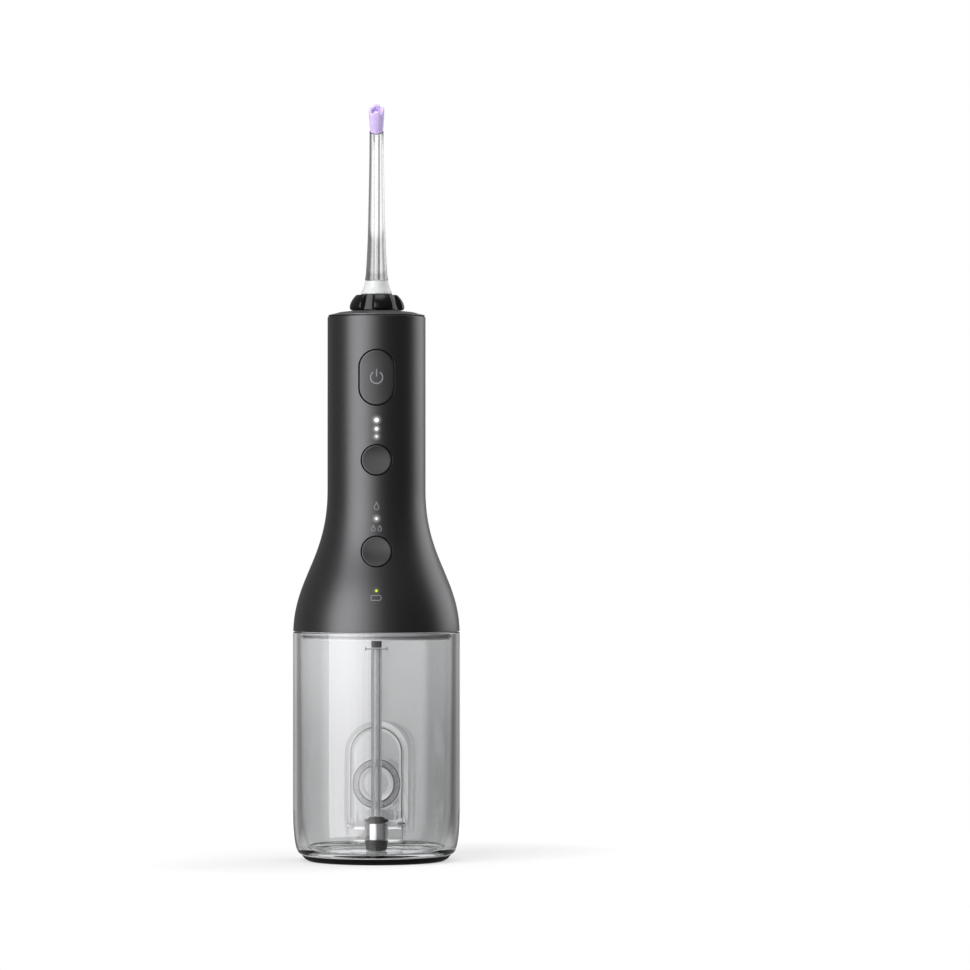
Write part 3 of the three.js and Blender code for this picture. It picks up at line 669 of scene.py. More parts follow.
def hole_lining(wide, high, z, side, gap, edge):
    """The rounded edge and wall of a hole in the casing, as a closed ring set in the wall."""
    rings = []
    steps = 5
    for k in range(steps + 1):
        turn = math.pi / 2 * k / steps
        outline = oblong(wide, high, z, gap + edge * (1 - math.sin(turn)))
        rings.append(on_wall(outline, side, edge * (1 - math.cos(turn))))
    rings.append(on_wall(oblong(wide, high, z, gap), side, CASE_WALL - 0.05))
    rings.append(on_wall(oblong(wide, high, z, gap + edge), side, CASE_WALL - 0.05))
    return loft("lining", rings, loop=True)


def casing_outline():
    foot = case_radius(CASE_LOW)
    flare = []
    z = CASE_LOW + 0.6
    while z < FLARE_END:
        flare.append((case_radius(z), z))
        z += 1.4
    outside = fillet([(foot - CASE_WALL, CASE_LOW), (foot, CASE_LOW, 0.3), flare[0]], loop=False)
    outside += flare[1:] + [(NECK_R, FLARE_END + 10 * i) for i in range(7)]
    rim = fillet([
        (NECK_R, CASE_TOP - 2), (NECK_R, CASE_TOP, 0.45), (NECK_R - CASE_WALL, CASE_TOP),
    ], loop=False)
    inside = [(r - CASE_WALL, z) for r, z in reversed(flare)]
    return outside + rim + inside


def handle_casing(material):
    casing = turned("handle_casing_shell", casing_outline(), count=192)
    holes = [(c["wide"], c["high"], c["z"], FRONT, BUTTON_GAP, HOLE_EDGE) for c in (POWER, INTENSITY, MODE)]
    holes += [(r, r, z, FRONT, LENS_GAP, LENS_GAP) for z, r in LIGHTS.values()]
    holes.append((PORT["wide"], PORT["high"], PORT["z"], BACK, GAP, HOLE_EDGE))
    carve(casing, *[hole_cutter(*hole[:4], hole[4] + hole[5]) for hole in holes])
    merged(casing, *[hole_lining(*hole) for hole in holes])
    shade_turned(casing, [(case_radius, 1), (lambda z: case_radius(z) - CASE_WALL, -1)])
    finish(casing, material, "handle", ["handle_casing"])


def top_cap(material):
    seat = CASE_TOP + GAP
    outline = fillet([
        (6.3, 214.5), (8.5, 214.5), (8.5, seat), (15.7, seat), (15.7, 214.5), (17.4, 214.5), (17.4, seat),
        (19.3, seat, 0.1), (19.3, 217.9, 0.3), (17.4, 218.3, 1.2), (14.9, 219.0, 2.0), (10.5, 219.5, 3.0),
        (6.3, 219.5, 0.4),
    ])
    turned_part("top_cap_dome", outline, 160, material, "handle", "satin_black", "top_cap")


# ---- Buttons, their marks and the lights ----


def button_face(control):
    """The dished face of a button, as a function that gives Y at a place (x, z)."""
    half = min(control["wide"], control["high"])
    spine = control["high"] - half

    def face(x, z):
        dz = max(abs(z - control["z"]) - spine, 0)
        inner = min(math.hypot(x, dz) / half, 1)
        return wall_y(x, z, FRONT) - BUTTON_PROUD + control["dish"] * (1 - inner ** 2)

    return face


def button(name, control, material):
    rim = 0.35
    half = min(control["wide"], control["high"])
    face = button_face(control)
    rings = []

    def ring(inset, depth):
        outline = oblong(control["wide"], control["high"], control["z"], -inset)
        rings.append([(x, face(x, z) + depth, z) for x, z in outline])

    ring(0, 2.4)
    ring(0, 1.2)
    steps = 5
    for k in range(steps + 1):
        turn = math.pi / 2 * k / steps
        ring(rim * (1 - math.cos(turn)), rim * (1 - math.sin(turn)))
    count = 12
    for k in range(1, count + 1):
        ring(rim + (half - 0.5 - rim) * k / count, 0)
    piece = shade(loft(f"{name}_button_cap", rings), sharp=50)
    finish(piece, material, f"{name}_key", [f"{name}_button"])


def stroke(name, points, width, place, closed=False, lift=0.03, sink=0.05):
    """A printed line along points (x, z), as a thin closed strip laid on a surface.

    place(x, z) gives the surface's Y, and the front is towards -Y.
    """
    count = len(points)
    verts = []
    for i, (x, z) in enumerate(points):
        before = Vector(points[i - 1] if closed or i else points[0])
        after = Vector(points[(i + 1) % count] if closed or i + 1 < count else points[-1])
        here = Vector((x, z))
        d0 = (here - before).normalized() if (here - before).length > 1e-9 else (after - here).normalized()
        d1 = (after - here).normalized() if (after - here).length > 1e-9 else d0
        along = (d0 + d1).normalized()
        across = Vector((-along.y, along.x)) * (width / 2 / max(along.dot(d1), 0.5))
        for side, height in ((1, -lift), (-1, -lift), (-1, sink), (1, sink)):
            p = here + across * side
            verts.append((p.x, place(p.x, p.y) + height, p.y))
    rings = [range(4 * i, 4 * i + 4) for i in range(count)]
    faces = bridge(rings, closed)
    if not closed:
        faces += [tuple(rings[0]), tuple(rings[-1])]
    return new_piece(name, verts, faces)


def arc(x, z, r, start, end, count=40):
    """Points (x, z) round a centre, from one angle in degrees to another."""
    turns = [math.radians(start + (end - start) * i / count) for i in range(count + 1)]
    return [(x + r * math.cos(turn), z + r * math.sin(turn)) for turn in turns]


def line(a, b, count=10):
    return [(a[0] + (b[0] - a[0]) * i / count, a[1] + (b[1] - a[1]) * i / count) for i in range(count + 1)]


# The printed marks: the power mark's line width, each drop's height on the casing and size, and the lower
# edge, middle and upper edge of the battery.
POWER_LINE = 0.42
ONE_DROP = (141.5, 2.9)
TWO_DROPS = (132.7, 2.3)
BATTERY_MARK = (104.35, 105.3, 106.25)


def power_mark(material):
    z = POWER["z"]
    place = button_face(POWER)
    ring = stroke("power_mark", arc(0, z, 2.4, 122, 418, 56), POWER_LINE, place)
    bar = stroke("bar", line((0, z + 0.3), (0, z + 3.3)), POWER_LINE, place)
    piece = shade(merged(ring, bar))
    finish(piece, material, "power_key")


def drop_outline(x, z, high):
    """A water drop's outline, pointed at the top."""
    r = high * 0.31
    low = z - high / 2 + r
    top = (x, z + high / 2)
    points = arc(x, low, r, -205, 25, 28)
    right = points[-1]
    left = points[0]
    return points + line(right, top, 8)[1:] + line(top, left, 8)[1:-1]


def casing_marks(material):
    def place(x, z):
        return wall_y(x, z, FRONT)

    pieces = [stroke("mode_marks", drop_outline(0, *ONE_DROP), 0.26, place, closed=True)]
    for x in (-1.25, 1.25):
        pieces.append(stroke("mark", drop_outline(x, *TWO_DROPS), 0.24, place, closed=True))
    low, middle, high = BATTERY_MARK
    body = fillet([
        (-2.1, low, 0.3), (1.3, low, 0.4), (2.1, middle, 0.35), (1.3, high, 0.4), (-2.1, high, 0.3),
    ])
    outline = []
    for a, b in zip(body, body[1:] + body[:1]):
        outline += line(a, b, 3)[:-1]
    pieces.append(stroke("mark", outline, 0.24, place, closed=True))
    piece = shade(merged(*pieces))
    finish(piece, material, "handle")


def lens(name, z, r, material):
    front = -wall_y(0, z, FRONT)
    outline = fillet([
        (0, front - 3), (r, front - 3), (r, front - 0.12, 0.15), (0.5 * r, front - 0.02), (0, front),
    ], loop=False)
    piece = shade(rod_y(f"{name}_lens", outline, z, count=48))
    finish(piece, material, "handle", [f"light_guide_{name}"])


# ---- Charging port cover ----


def port_cover(material):
    rim = 0.3
    z = PORT["z"]
    rings = [on_wall(oblong(PORT["wide"], PORT["high"], z), BACK, 1.5)]
    steps = 4
    for k in range(steps + 1):
        turn = math.pi / 2 * k / steps
        outline = oblong(PORT["wide"], PORT["high"], z, -rim * (1 - math.cos(turn)))
        rings.append(on_wall(outline, BACK, rim * (1 - math.sin(turn))))
    for inset in (0.8, 1.6, 2.6, 3.8):
        depth = 0.3 * (1 - math.cos(min((inset - 0.8) / 1.6, 1) * math.pi)) / 2
        rings.append(on_wall(oblong(PORT["wide"], PORT["high"], z, -inset), BACK, depth))
    cover = loft("port_cover_flap", rings)
    ribs = []
    for dz in (1.6, 2.5, 3.4):
        outline = oblong(2.6, 0.22, z + dz, count=24)
        ribs.append(loft("rib", [on_wall(outline, BACK, 0.6), on_wall(outline, BACK, -0.02)]))
    piece = shade(merged(cover, *ribs), sharp=40)
    finish(piece, material, "port_flap", ["port_cover"])


# ---- Knob and nozzle ----


def knob_radius(r, z, angle):
    """The knob's radius, pulled in between its petals."""
    if r < 7.5 or z < 219.8:
        return r
    period = TAU / PETALS
    turn = (angle - math.radians(FIRST_PETAL)) / period
    away = abs(turn - round(turn)) * 360 / PETALS
    petal = 1 - smoothstep(away, 19, 28)
    valley = min(r, 7.9 + 0.34 * (KNOB_TOP - z))
    return valley + (r - valley) * petal


def nozzle_knob(material):
    petals = spline([
        (11.1, 220.75), (11.1, 221.3), (10.87, 222.3), (10.35, 223.4), (9.65, 224.5), (8.95, 225.3),
    ], 0.3)
    outline = [(3.9, 208), (5.9, 208), (5.9, 212.6), (5.1, 212.6), (5.1, 214.4), (5.9, 214.4), (5.9, 219.9)]
    outline += [(6.3, 219.9), (9.0, 219.9), (10.2, 219.9), (10.75, 220.05), (11.0, 220.35)] + petals
    outline += [(8.7, 225.6), (8.3, KNOB_TOP), (6.6, KNOB_TOP), (4.95, KNOB_TOP)]
    outline += [(4.75, 225.7), (4.75, 222), (3.9, 222)]
    turned_part("nozzle_knob_petals", outline, 360, material, "knob", "gloss_black", "nozzle_knob",
                sharp=55, change=knob_radius)


def nozzle_skirt(material):
    base = KNOB_TOP + GAP
    outline = fillet([
        (0.9, 203.6), (3.1, 203.6, 0.1), (3.5, 204.1, 0.1), (3.5, 204.9), (2.6, 204.9), (2.6, 206.3),
        (3.5, 206.3), (3.5, 211.1, 0.1), (2.45, 211.1), (2.45, 213.8), (3.5, 213.8, 0.1), (3.5, 222.3),
        (4.45, 222.3, 0.15), (4.45, base), (6.25, base, 0.2), (6.2, base + 0.6, 0.4), (5.3, base + 2.6, 3),
        (4.75, SKIRT_TOP - 0.7, 1.5), (4.6, SKIRT_TOP, 0.25), (0.9, SKIRT_TOP),
    ])
    turned_part("nozzle_skirt_cone", outline, 96, material, "nozzle", "white_plastic", "nozzle_skirt")


def bend_forward(x, y, z):
    """Bends what stands along Z forwards over an arc, above the height where the bend starts."""
    run = z - BEND_Z
    if run <= 0:
        return x, y, z
    angle = min(run / BEND_R, BEND)
    beyond = run - angle * BEND_R
    c, s = math.cos(angle), math.sin(angle)
    return x, -BEND_R * (1 - c) + y * c - beyond * s, BEND_Z + BEND_R * s + y * s + beyond * c


def nozzle_tube(material):
    foot = SKIRT_TOP + GAP
    end = TIP_LOW - GAP
    wall = spline([
        (4.60, foot + 0.5), (4.22, 235.5), (3.77, 243.5), (3.46, 251.5), (3.2, 263.5), (2.97, 275.5),
        (2.86, BEND_Z), (2.84, 287), (2.82, end - 0.15),
    ], 0.7)
    spigot = [(2.7, end), (1.7, end)] + [(1.7, end + 0.5 * i) for i in range(1, 7)] + [(1.6, end + 3.5)]
    bore = [(NOZZLE_BORE, end + 3.5 - 0.5 * i) for i in range(25)]
    bore += [(NOZZLE_BORE, 281 - 5 * i) for i in range(9)]
    outline = [(NOZZLE_BORE, foot), (4.5, foot), (4.64, foot + 0.15)] + wall + spigot + bore
    turned_part("nozzle_tube_stem", outline, 96, material, "nozzle", "clear_plastic", "nozzle_tube",
                place=bend_forward)


def nozzle_tip(material):
    outside = spline([
        (2.6, TIP_LOW - 0.1), (2.8, TIP_LOW + 3), (3.0, TIP_LOW + 6.5), (3.08, TIP_END - 1.4),
    ], 0.5)
    inside = [(1.75, TIP_END - 1.2), (1.6, TIP_END - 2.2), (1.3, TIP_END - 3.6), (1.0, TIP_LOW + 3.7)]
    inside += [(2.05, TIP_LOW + 3.7), (2.05, TIP_LOW + 1.9), (2.05, TIP_LOW - 0.22)]
    mouth = fillet([outside[-1], (3.0, TIP_END, 0.7), (1.9, TIP_END, 0.35), inside[0]], False)
    outline = [(2.45, TIP_LOW - 0.22)] + outside + mouth

    def petals(x, y, z):
        """Lowers the mouth between its four petals."""
        away = abs((math.degrees(math.atan2(x, -y)) - 45) % 90 - 45)
        share = smoothstep(z, TIP_END - 3.2, TIP_END - 0.4)
        return bend_forward(x, y, z - NOTCH * share * smoothstep(away, 16, 42))

    outline += inside
    turned_part("nozzle_tip_petals", outline, 128, material, "nozzle", "lilac_silicone", "nozzle_tip",
                sharp=60, place=petals)


# ---- Reservoir ----


def tank_radius(z):
    """Radius of the reservoir's outside at a height."""
    low = FOOT_HEIGHT + GAP
    if z >= CORNER_Z:
        return TANK_R
    share = min(max((CORNER_Z - z) / (CORNER_Z - low), 0), 1)
    return TANK_R - CORNER_R * (1 - math.sqrt(max(1 - share * share, 0)))


def tank_inside(z):
    """Radius of the reservoir's inside at a height, above its floor."""
    wall = TANK_R - TANK_WALL
    if z >= INNER_TAPER_Z:
        return wall - 0.2 + 0.2 * (z - INNER_TAPER_Z) / 32
    if z >= INNER_CORNER_Z:
        return wall - 0.6 + 0.4 * (z - INNER_CORNER_Z) / (INNER_TAPER_Z - INNER_CORNER_Z)
    share = min((INNER_CORNER_Z - z) / INNER_CORNER_HIGH, 1)
    return wall - 0.6 - INNER_CORNER_R * (1 - math.sqrt(max(1 - share * share, 0)))


def tank_outline():
    low = FOOT_HEIGHT + GAP
    corner = []
    for i in range(1, 24):
        turn = math.pi / 2 * i / 24
        z = CORNER_Z - (CORNER_Z - low) * math.cos(turn)
        corner.append((tank_radius(z), z))
    rest = FOOT_INNER - 0.4
    outside = [(0, 0.6), (rest - 0.8, 0.6), (rest - 0.6, 0.75), (rest, low), (26, low), (30.3, low)] + corner
    outside += [(TANK_R, z) for z in (CORNER_Z, 30, 42, 54, 66, 78, 88)]
    rim_r = tank_inside(TANK_TOP)
    rim = fillet([(TANK_R, 88), (TANK_R, TANK_TOP, 0.45), (rim_r, TANK_TOP, 0.35), (rim_r, 88)], loop=False)
    inside = [(tank_inside(z), z) for z in (86, 74, INNER_TAPER_Z, 52, 41, 30, INNER_CORNER_Z)]
    for i in range(1, 20):
        turn = math.pi / 2 * i / 20
        z = INNER_CORNER_Z - INNER_CORNER_HIGH * math.sin(turn)
        inside.append((tank_inside(z), z))
    floor = spline([(26.8, 4.6), (24.6, 4.15), (22.2, 3.1), (19.8, 2.3), (17, 2.05), (12, TANK_FLOOR)], 0.6)
    floor.append((0, TANK_FLOOR))
    return outside + rim[1:] + inside + floor


def arch_solid(name, half, low, near, far=BEYOND):
    """A solid with the outline of an upright door with a round top, from one Y to another."""
    outline = [(-half, low), (half, low)] + arc(0, DOOR_ARCH_Z, half, 0, 180, 48)
    return loft(name, [[(x, y, z) for x, z in outline] for y in (near, far)])


def reservoir(material):
    shell = turned("reservoir_bowl", tank_outline(), count=192, loop=False)
    block = arch_solid("block", DOOR_HALF + POCKET_EDGE, 4, POCKET_BACK)
    form = [(0, 3.4)] + [(tank_radius(z) - 0.2, z) for z in (3.4, *range(4, 19))]
    form = turned("form", form + [(TANK_R - 0.2, 60), (0, 60)], count=96, loop=False)
    carve(block, form, operation="INTERSECT")
    carve(shell, block, operation="UNION")
    pocket = arch_solid("pocket", DOOR_HALF + GAP, POCKET_LOW, POCKET_FRONT)
    hole = rod_y("hole", [(0, 20), (FILL_R, 20), (FILL_R, 32), (0, 32)], PLUG_Z, side=BACK)
    carve(shell, pocket, hole, rod_x("bearing", PIN_R + 0.1, -PIN_TO - 0.15, PIN_TO + 0.15))
    shade_turned(shell, [(tank_radius, 1), (tank_inside, -1)])
    finish(shell, material, "reservoir", ["reservoir_shell"])


def foot_ring(material, inner):
    outline = fillet([
        (FOOT_INNER, 0, 0.3), (26.9, 0, 0.6), (28.6, 0.9, 1.2), (30, FOOT_HEIGHT, 0.25),
        (FOOT_INNER, FOOT_HEIGHT),
    ])
    ring = turned_part("foot_ring_pad", outline, 160, material, "reservoir", "rubber_black", "foot_ring")
    # The top and inner faces get the pale material: painted light, standing in for the brightness seen on
    # them through the reservoir's clear floor; the rubber itself is black.
    for face in ring.data.polygons:
        centre = face.center / MM
        on_top = centre.z > FOOT_HEIGHT - 0.2
        if on_top or math.hypot(centre.x, centre.y) < FOOT_INNER + 0.4:
            face.material_index = 1
    ring.data.materials.append(inner)


def cylinder(r):
    """A cylinder round the axis, higher than the fill door, to trim the door's parts with."""
    return turned("cylinder", [(0, 0), (r, 0), (r, 70), (0, 70)], count=192, loop=False)


def fill_door(material):
    door = arch_solid("fill_door_panel", DOOR_HALF, DOOR_LOW, POCKET_FRONT + GAP)
    carve(door, cylinder(TANK_R), operation="INTERSECT")
    recess = arch_solid("recess", DOOR_HALF - DOOR_RIM, DOOR_LOW + 4, 20)
    skin = TANK_R - DOOR_SKIN
    carve(recess, cylinder(skin), operation="INTERSECT")
    carve(door, recess)
    boss = fillet([(BOSS_R - 1.8, 25.9), (BOSS_R, 25.9, 0.3), (BOSS_R, 32.2), (BOSS_R - 1.8, 32.2)])
    carve(door, rod_y("boss", boss, PLUG_Z, loop=True, side=BACK), operation="UNION")
    knuckles = [rod_x("knuckle", BARREL_R, start, start + DOOR_HALF - BARREL_FROM)
                for start in (-DOOR_HALF, BARREL_FROM)]
    carve(door, *knuckles, operation="UNION")
    ribs = []
    for x in (-8.0, 8.0):
        outline = oblong(0.4, 2.4, 15.0, count=24)
        ribs.append(loft("rib", [[(x + u, y, z) for u, z in outline] for y in (29.0, 30.8)]))
    carve(door, *ribs, operation="UNION")
    low = ((-20, 0), (20, 0), (20, PIN_Z), (-20, PIN_Z))
    heel = loft("heel", [[(x, y, z) for x, z in low] for y in (20, PIN_Y)])
    carve(heel, rod_x("sweep", SWEEP_R, -21, 21))
    bores = [rod_x("bore", PIN_R + 0.1, *ends) for ends in ((-20, -PIN_FROM + 0.1), (PIN_FROM - 0.1, 20))]
    carve(door, heel, *bores)
    shade_turned(door, [(lambda z: TANK_R, 1), (lambda z: skin, -1)])
    finish(door, material, "door", ["fill_door"])


def door_gap_painted_shade(material):
    """A thin dark strip in the pocket round the door's arch, just inside the door's face: painted shade,
    standing in for the shadow in the gap round the door.
    """
    def place(_x, _z):
        return POCKET_FRONT + GAP + 0.35

    half = DOOR_HALF - 0.5
    heights = (14, 20, 26, 32, 38)
    points = [(-half, z) for z in heights]
    points += arc(0, DOOR_ARCH_Z, half, 180, 0, 48)
    points += [(half, z) for z in reversed(heights)]
    seal = shade(stroke("door_gap_painted_shade", points, 0.42, place, lift=0.33, sink=0.2))
    finish(seal, material, "door")


def plug_seal(material):
    outline = [(BOSS_R + 0.1, 28.1), (BOSS_R + 0.1, 26.15)]
    for r in (7.7, 8.5, 9.2):
        outline += [(r - 0.22, 26.05), (r - 0.12, 26.4), (r + 0.12, 26.4), (r + 0.22, 26.05)]
    outline += fillet([
        (SEAL_R - 0.4, 26.0), (SEAL_R, 26.0, 0.4), (SEAL_R - 0.25, 27.0, 0.3), (SEAL_R, 28.1, 0.4),
        (SEAL_R - 0.5, 28.1),
    ], loop=False)
    seal = shade(rod_y("fill_plug_seal_ring", outline, PLUG_Z, count=96, loop=True, side=BACK))
    finish(seal, material, "door", ["fill_plug_seal"])


def plug_lips(material):
    """Two thin dark lips, round the seal's outer and inner edges."""
    rings = []
    turns = [TAU * i / 10 for i in range(10)]
    for r in (SEAL_R - 0.2, BOSS_R + 0.45):
        section = [(r + 0.15 * math.cos(turn), 25.95 + 0.15 * math.sin(turn)) for turn in turns]
        rings.append(rod_y("fill_plug_lips", section, PLUG_Z, count=96, loop=True, side=BACK))
    finish(shade(merged(*rings)), material, "door")


def level_line(material):
    """A plain line with a tick at each end, at the reservoir's fill level."""
    def place(x, z):
        return -math.sqrt(tank_radius(z) ** 2 - x * x)

    half = 4.2
    width = 0.32
    pieces = [stroke("level_line", line((-half, 85.3), (half, 85.3), 16), width, place)]
    pieces += [stroke("tick", line((x, 84.5), (x, 86.1), 4), width, place) for x in (-half, half)]
    finish(shade(merged(*pieces)), material, "reservoir")


# ---- Suction line ----


def suction_line(looks):
    steps = [HOSE_LOW + (HOSE_HIGH - HOSE_LOW) * i / 40 for i in range(41)]
    outside = [(HOSE_R, z) for z in steps]
    outline = [(HOSE_BORE, HOSE_LOW), (HOSE_R - 0.12, HOSE_LOW)] + outside[1:-1]
    outline += [(HOSE_R - 0.12, HOSE_HIGH), (HOSE_BORE, HOSE_HIGH)]
    outline += [(HOSE_BORE, z) for z in reversed(steps[1:-1])]
    hose = turned_part(
        "suction_hose", outline, 48, looks["hose"], "handle", "clear_silicone", "suction_tube")

    flange = turned_part("weight_flange_cap", fillet([
        (0.8, 14.7), (4.8, 14.7, 0.25), (4.8, 16.0, 0.35), (3.4, 16.4, 0.3), (2.8, 17.1, 0.2), (0.8, 17.1),
    ]), 96, looks["gloss_black"], "handle", "gloss_black", "weight_flange")
    weight = turned_part("steel_weight_slug", fillet([
        (1, 7.8), (3.75, 7.8, 0.3), (3.75, 14.4, 0.3), (1, 14.4),
    ]), 96, looks["steel"], "handle", "steel", "steel_weight")
    sleeve = turned_part("weight_sleeve_tube", fillet([
        (4.05, 7.8), (4.7, 7.8, 0.15), (4.7, 14.4, 0.15), (4.05, 14.4),
    ]), 96, looks["sleeve"], "handle", "clear_plastic", "weight_sleeve")
    cup = turned_part("filter_cup_body", fillet([
        (2.4, 2.3), (3.7, 2.3, 0.2), (4.1, 2.7, 0.4), (4.75, 7.5, 0.2), (1, 7.5), (1, 6), (3.1, 6),
        (2.9, 3.3),
    ]), 96, looks["gloss_black"], "handle", "gloss_black", "filter_cup")


def spigot(looks):
    rim = case_radius(CASE_LOW) - CASE_WALL - 0.4
    outline = fillet([
        (0.9, 88.4), (29.4, 88.4, 0.2), (29.4, 88.9), (28.4, 88.9), (28.4, 90.3), (29.4, 90.3),
        (29.4, CASE_LOW + 0.05), (rim, CASE_LOW + 0.2), (rim, 94, 0.2), (rim - 1.5, 94, 0.2),
        (rim - 1.5, 90.6), (0.9, 90.6),
    ])
    # The plate's pale colour is partly its own and partly painted reflection, for the bright band seen at the
    # reservoir's rim.
    turned_part(
        "spigot_plate_disc", outline, 160, looks["pale_plastic_and_painted_reflection"], "handle", "grey_plastic", "spigot_plate")
    ring = fillet([(28.7, 89.2, 0.2), (30.2, 89.25, 0.35), (30.2, 89.95, 0.35), (28.7, 90.0, 0.2)])
    turned_part(
        "reservoir_gasket_ring", ring, 160, looks["gasket"], "handle", "clear_silicone", "reservoir_gasket")
    barb = fillet([(0.8, 84.9), (2.05, 84.9, 0.1), (2.05, 88.1, 0.1), (0.8, 88.1)])
    turned_part(
        "suction_nipple_stub", barb, 64, looks["rubber_black"], "handle", "rubber_black", "suction_nipple")


# ---- CAD nodes that stay ----

KEPT = {
    "steel": ["hinge_pin_left", "hinge_pin_right", "motor_can", "motor_screw_1", "motor_screw_2",
              "motor_pinion", "gear_shaft", "knob_retainer"],
    "rubber_black": ["power_gasket", "intensity_gasket", "mode_gasket", "piston_seal", "nozzle_ring"],
    "grey_plastic": ["power_switch", "intensity_switch", "mode_switch", "chassis"],
    "board": ["circuit_board"],
    "cell_sleeve": ["battery_cell"],
    "nylon": ["motor_end_cap", "drive_gear", "connecting_rod", "piston"],
    "white_plastic": ["pump_cylinder", "nozzle_socket"],
    "clear_silicone": ["inlet_valve", "outlet_valve", "inlet_pipe", "outlet_pipe"],
    "gloss_black": ["charge_socket", "board_screw_1", "board_screw_2"],
}


def dress_kept_nodes(looks):
    for look, nodes in KEPT.items():
        for name in nodes:
            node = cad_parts[name]
            for slot in node.material_slots:
                slot.link = "OBJECT"
                slot.material = looks[look]


# ---- Studio ----


LIGHT_COLOUR = (1.0, 0.985, 1.015)


def panel(name, left, right, radiance, distance=1.3, low=-0.3, high=1.35):
    """An upright softbox that fills the azimuths from left to right, seen from the object's axis.

    Azimuth 0 is the camera's side, and grows to the right. low and high are heights in metres. A softbox
    shows in reflections, but not straight through clear pieces.
    """
    wide = 2 * distance * math.tan(math.radians(right - left) / 2)
    tall = high - low
    data = bpy.data.lights.new(name, "AREA")
    data.shape = "RECTANGLE"
    data.size = wide
    data.size_y = tall
    data.energy = radiance * math.pi * wide * tall
    data.color = LIGHT_COLOUR
    light = bpy.data.objects.new(name, data)
    bpy.context.scene.collection.objects.link(light)
    turn = math.radians((left + right) / 2)
    light.location = (distance * math.sin(turn), -distance * math.cos(turn), (low + high) / 2)
    light.rotation_euler = (math.pi / 2, 0, turn)
    light.visible_camera = False
    light.visible_transmission = False
    return light


# The key light's brightness, from its left edge to its right, by azimuth.
KEY = [(-68, -58, 4.5), (-58, -48, 5.1), (-48, -36, 5.5), (-36, -27, 5.0), (-27, -19, 4.0), (-19, -11, 2.7),
       (-11, -3, 1.5), (-3, 5, 0.7)]


def make_lights():
    for left, right, radiance in KEY:
        panel("key", left, right, radiance)
    panel("rim_right", 100, 142, 2.1, low=0.064)
    overhead = panel("overhead", -20, 20, 2.3, low=0, high=1.0)
    overhead.location = (0, 0, 1.5)
    overhead.rotation_euler = (0, 0, 0)


def make_world():
    """White where the camera looks past the object, and a studio with a bright back for other rays."""
    world = bpy.data.worlds.new("studio")
    bpy.context.scene.world = world
    world.use_nodes = True
    s = Tree(world.node_tree)
    s.nodes.clear()
    place = s.node("ShaderNodeTexCoord")
    axes = s.node("ShaderNodeSeparateXYZ")
    s.links.new(place.outputs["Generated"], axes.inputs[0])

    def ramp(axis, *ends, **kind):
        return s.span(axes.outputs[axis], *ends, **kind)

    def product(a, b):
        return s.math("MULTIPLY", a, b)

    def brighter(a, b):
        return s.math("MAXIMUM", a, b)

    def mixed(a, b, share):
        made = s.node("ShaderNodeMix")
        s.fill([made.inputs[key] for key in ("Factor", "A", "B")], (share, a, b))
        return made.outputs["Result"]

    def background(strength):
        made = s.node("ShaderNodeBackground")
        s.fill(made.inputs, ((1, 1, 1, 1), strength))
        return made.outputs[0]

    def choose(kind, otherwise, chosen):
        mix = s.node("ShaderNodeMixShader")
        s.fill(mix.inputs, (path.outputs[kind], otherwise, chosen))
        return mix.outputs[0]

    path = s.node("ShaderNodeLightPath")
    room = background(ramp("Y", -0.2, 0.86, 0.04, 0.27, kind="LINEAR"))
    # What is seen through the reservoir: the wall behind it, and what lights it from the front and below.
    across = product(ramp("Y", 0.86, 0.95, 0.30, 0.80), ramp("X", -0.006, 0.002, 1.0, 0.62))
    front = product(ramp("Y", -0.3, 0.1, 1.0, 0.0), ramp("X", -0.5, 0.25, 2.8, 0.35))
    below = brighter(ramp("Z", -0.3, -0.1, 0.5, 0.0), front)
    tank = brighter(product(across, ramp("Z", -0.072, -0.025, 0.68, 1.0)), below)
    # What is seen through the nozzle, which stands above the horizon.
    nozzle = brighter(ramp("Y", 0.72, 0.96, 0.22, 1.05), ramp("X", -0.3, -0.1, 0.62, 0.0))
    above = product(ramp("Z", 0.02, 0.04, 0.0, 1.0), ramp("Y", -0.1, 0.1, 0.0, 1.0))
    through = background(mixed(tank, nozzle, above))
    fill = background(ramp("X", -0.1, 0.6, 0.12, 0.7))
    bounced = choose("Is Diffuse Ray", room, fill)
    seen = choose("Is Camera Ray", choose("Is Transmission Ray", bounced, through), background(1.0))
    out = s.node("ShaderNodeOutputWorld")
    s.links.new(seen, out.inputs["Surface"])


# The floor's glow: the distances in metres between which it grows, and its strength at each.
FLOOR_GLOW = (0.05, 0.28, 0.51, 0.94)


def make_floor():
    """A pale round table top that fades into the white behind it."""
    outline = [(0, 0), (100, 0), (300, 0)]
    verts, faces = lathe(outline, 96, loop=False)
    floor = new_piece("floor", verts, faces)
    for face in floor.data.polygons:
        if face.normal.z < 0:
            face.flip()
    s = Shader("floor", Roughness=0.7, Emission_Color=(1.0, 1.0, 1.0), Specular_IOR_Level=0.1)
    s.vary_colour(8, (0.45, 0.45, 0.45), (0.46, 0.46, 0.46))
    away = s.node("ShaderNodeVectorMath", operation="LENGTH")
    s.links.new(s.place, away.inputs[0])
    path = s.node("ShaderNodeLightPath")
    glow = s.math("MULTIPLY", s.span(away.outputs["Value"], *FLOOR_GLOW), path.outputs["Is Camera Ray"])
    s.links.new(glow, s.surface.inputs["Emission Strength"])
    clear = s.node("ShaderNodeBsdfTransparent")
    mirrored = s.math("MAXIMUM", path.outputs["Is Glossy Ray"], path.outputs["Is Transmission Ray"])
    mix = s.node("ShaderNodeMixShader")
    s.fill(mix.inputs, (mirrored, s.surface.outputs[0], clear.outputs[0]))
    s.links.new(mix.outputs[0], s.nodes["Material Output"].inputs["Surface"])
    floor.data.materials.append(s.material)


# ---- Scene ----


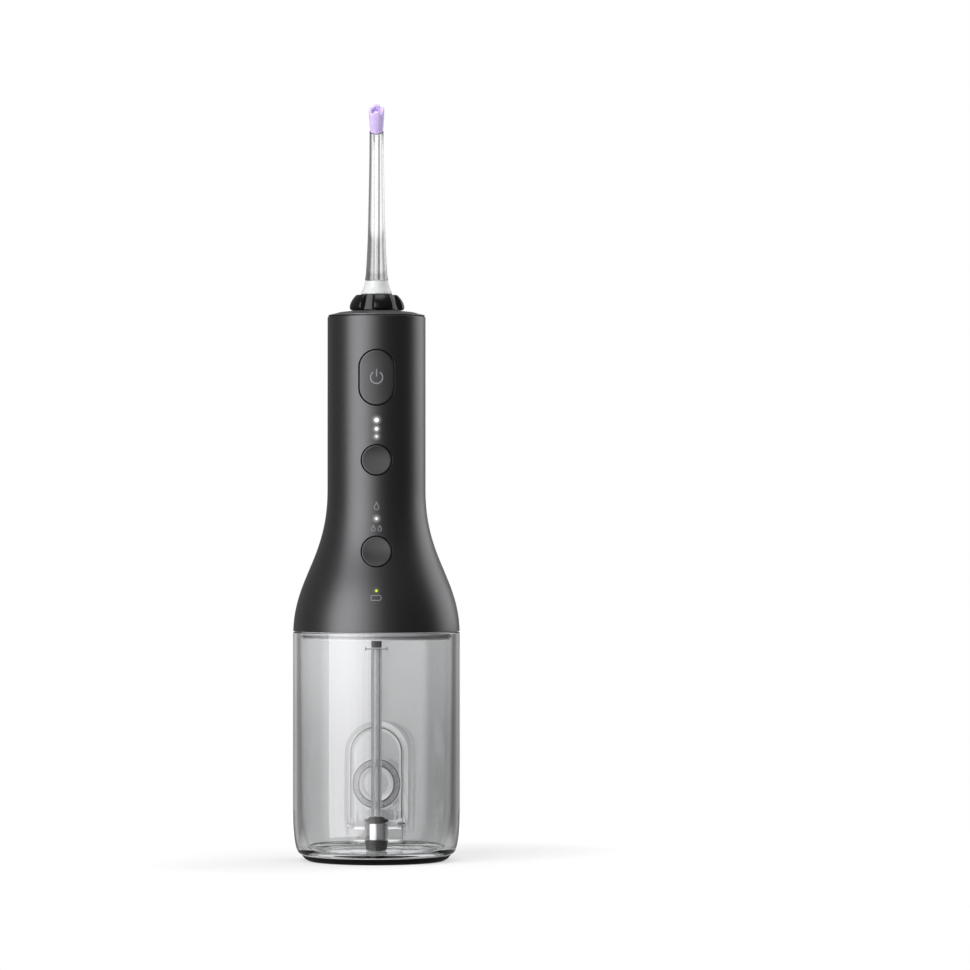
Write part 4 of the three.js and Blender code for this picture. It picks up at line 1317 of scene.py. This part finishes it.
def main():
    bpy.context.scene.view_settings.view_transform = "Standard"
    bpy.context.scene.view_settings.look = "None"
    make_camera()
    looks = {
        "casing": casing_black(),
        # The cap's black is lighter than the casing's same satin black: painted light, standing in for the
        # overhead light on its dome.
        "cap_black_painted_light": satin_black("cap_black_painted_light", 0.055),
        "button_black": button_black(),
        "gloss_black": gloss_black(),
        "rubber_black": rubber_black(),
        # Pale finish for the foot ring's top and inner faces: painted light, not the rubber's own colour.
        "rubber_painted_light": plain("rubber_painted_light", (0.85, 0.85, 0.855), 0.5),
        "tank": clear_plastic("clear_tank", (0.92, 0.925, 0.93), 1.49),
        "door": clear_plastic("clear_door", (0.92, 0.925, 0.93), 1.49),
        "tube": clear_plastic("clear_tube", (0.97, 0.975, 0.975), 1.5, relief=0),
        "sleeve": clear_plastic("clear_sleeve", (0.9, 0.9, 0.91), 1.49, relief=0),
        "white_plastic": white_plastic(),
        "grey_plastic": grey_plastic(),
        # Partly the spigot plate's own pale colour, partly painted reflection of the reservoir's bright rim.
        "pale_plastic_and_painted_reflection": plain("pale_plastic_and_painted_reflection", (0.78, 0.78, 0.785), 0.3),
        "lilac": lilac_silicone(),
        "hose": clear_silicone("hose_silicone", (0.80, 0.81, 0.82), 0.05),
        "clear_silicone": clear_silicone(),
        "seal": seal_silicone(),
        "gasket": clear_silicone("gasket_silicone", (0.85, 0.85, 0.86), 0.2),
        "steel": steel(),
        "light": light_lens(),
        "mark": print_ink("mark_grey", (0.19, 0.19, 0.195)),
        "level": print_ink("level_grey", (0.05, 0.05, 0.052)),
        "board": plain("board", (0.010, 0.014, 0.012), 0.4),
        "cell_sleeve": plain("cell_sleeve", (0.03, 0.10, 0.36), 0.35),
        "nylon": plain("nylon", (0.78, 0.75, 0.66), 0.45),
    }
    looks = {name: shader.material for name, shader in looks.items()}

    suction_line(looks)
    handle_casing(looks["casing"])
    top_cap(looks["cap_black_painted_light"])
    for name, control in (("power", POWER), ("intensity", INTENSITY), ("mode", MODE)):
        button(name, control, looks["button_black"])
    power_mark(looks["mark"])
    casing_marks(looks["mark"])
    for name, (z, r) in LIGHTS.items():
        lens(name, z, r, looks["light"])
    port_cover(looks["rubber_black"])
    nozzle_knob(looks["gloss_black"])
    nozzle_skirt(looks["white_plastic"])
    nozzle_tube(looks["tube"])
    nozzle_tip(looks["lilac"])
    reservoir(looks["tank"])
    foot_ring(looks["rubber_black"], looks["rubber_painted_light"])
    fill_door(looks["door"])
    door_gap_painted_shade(looks["rubber_black"])
    plug_seal(looks["seal"])
    plug_lips(looks["rubber_black"])
    level_line(looks["level"])
    spigot(looks)
    dress_kept_nodes(looks)
    make_world()
    make_lights()
    make_floor()


main()
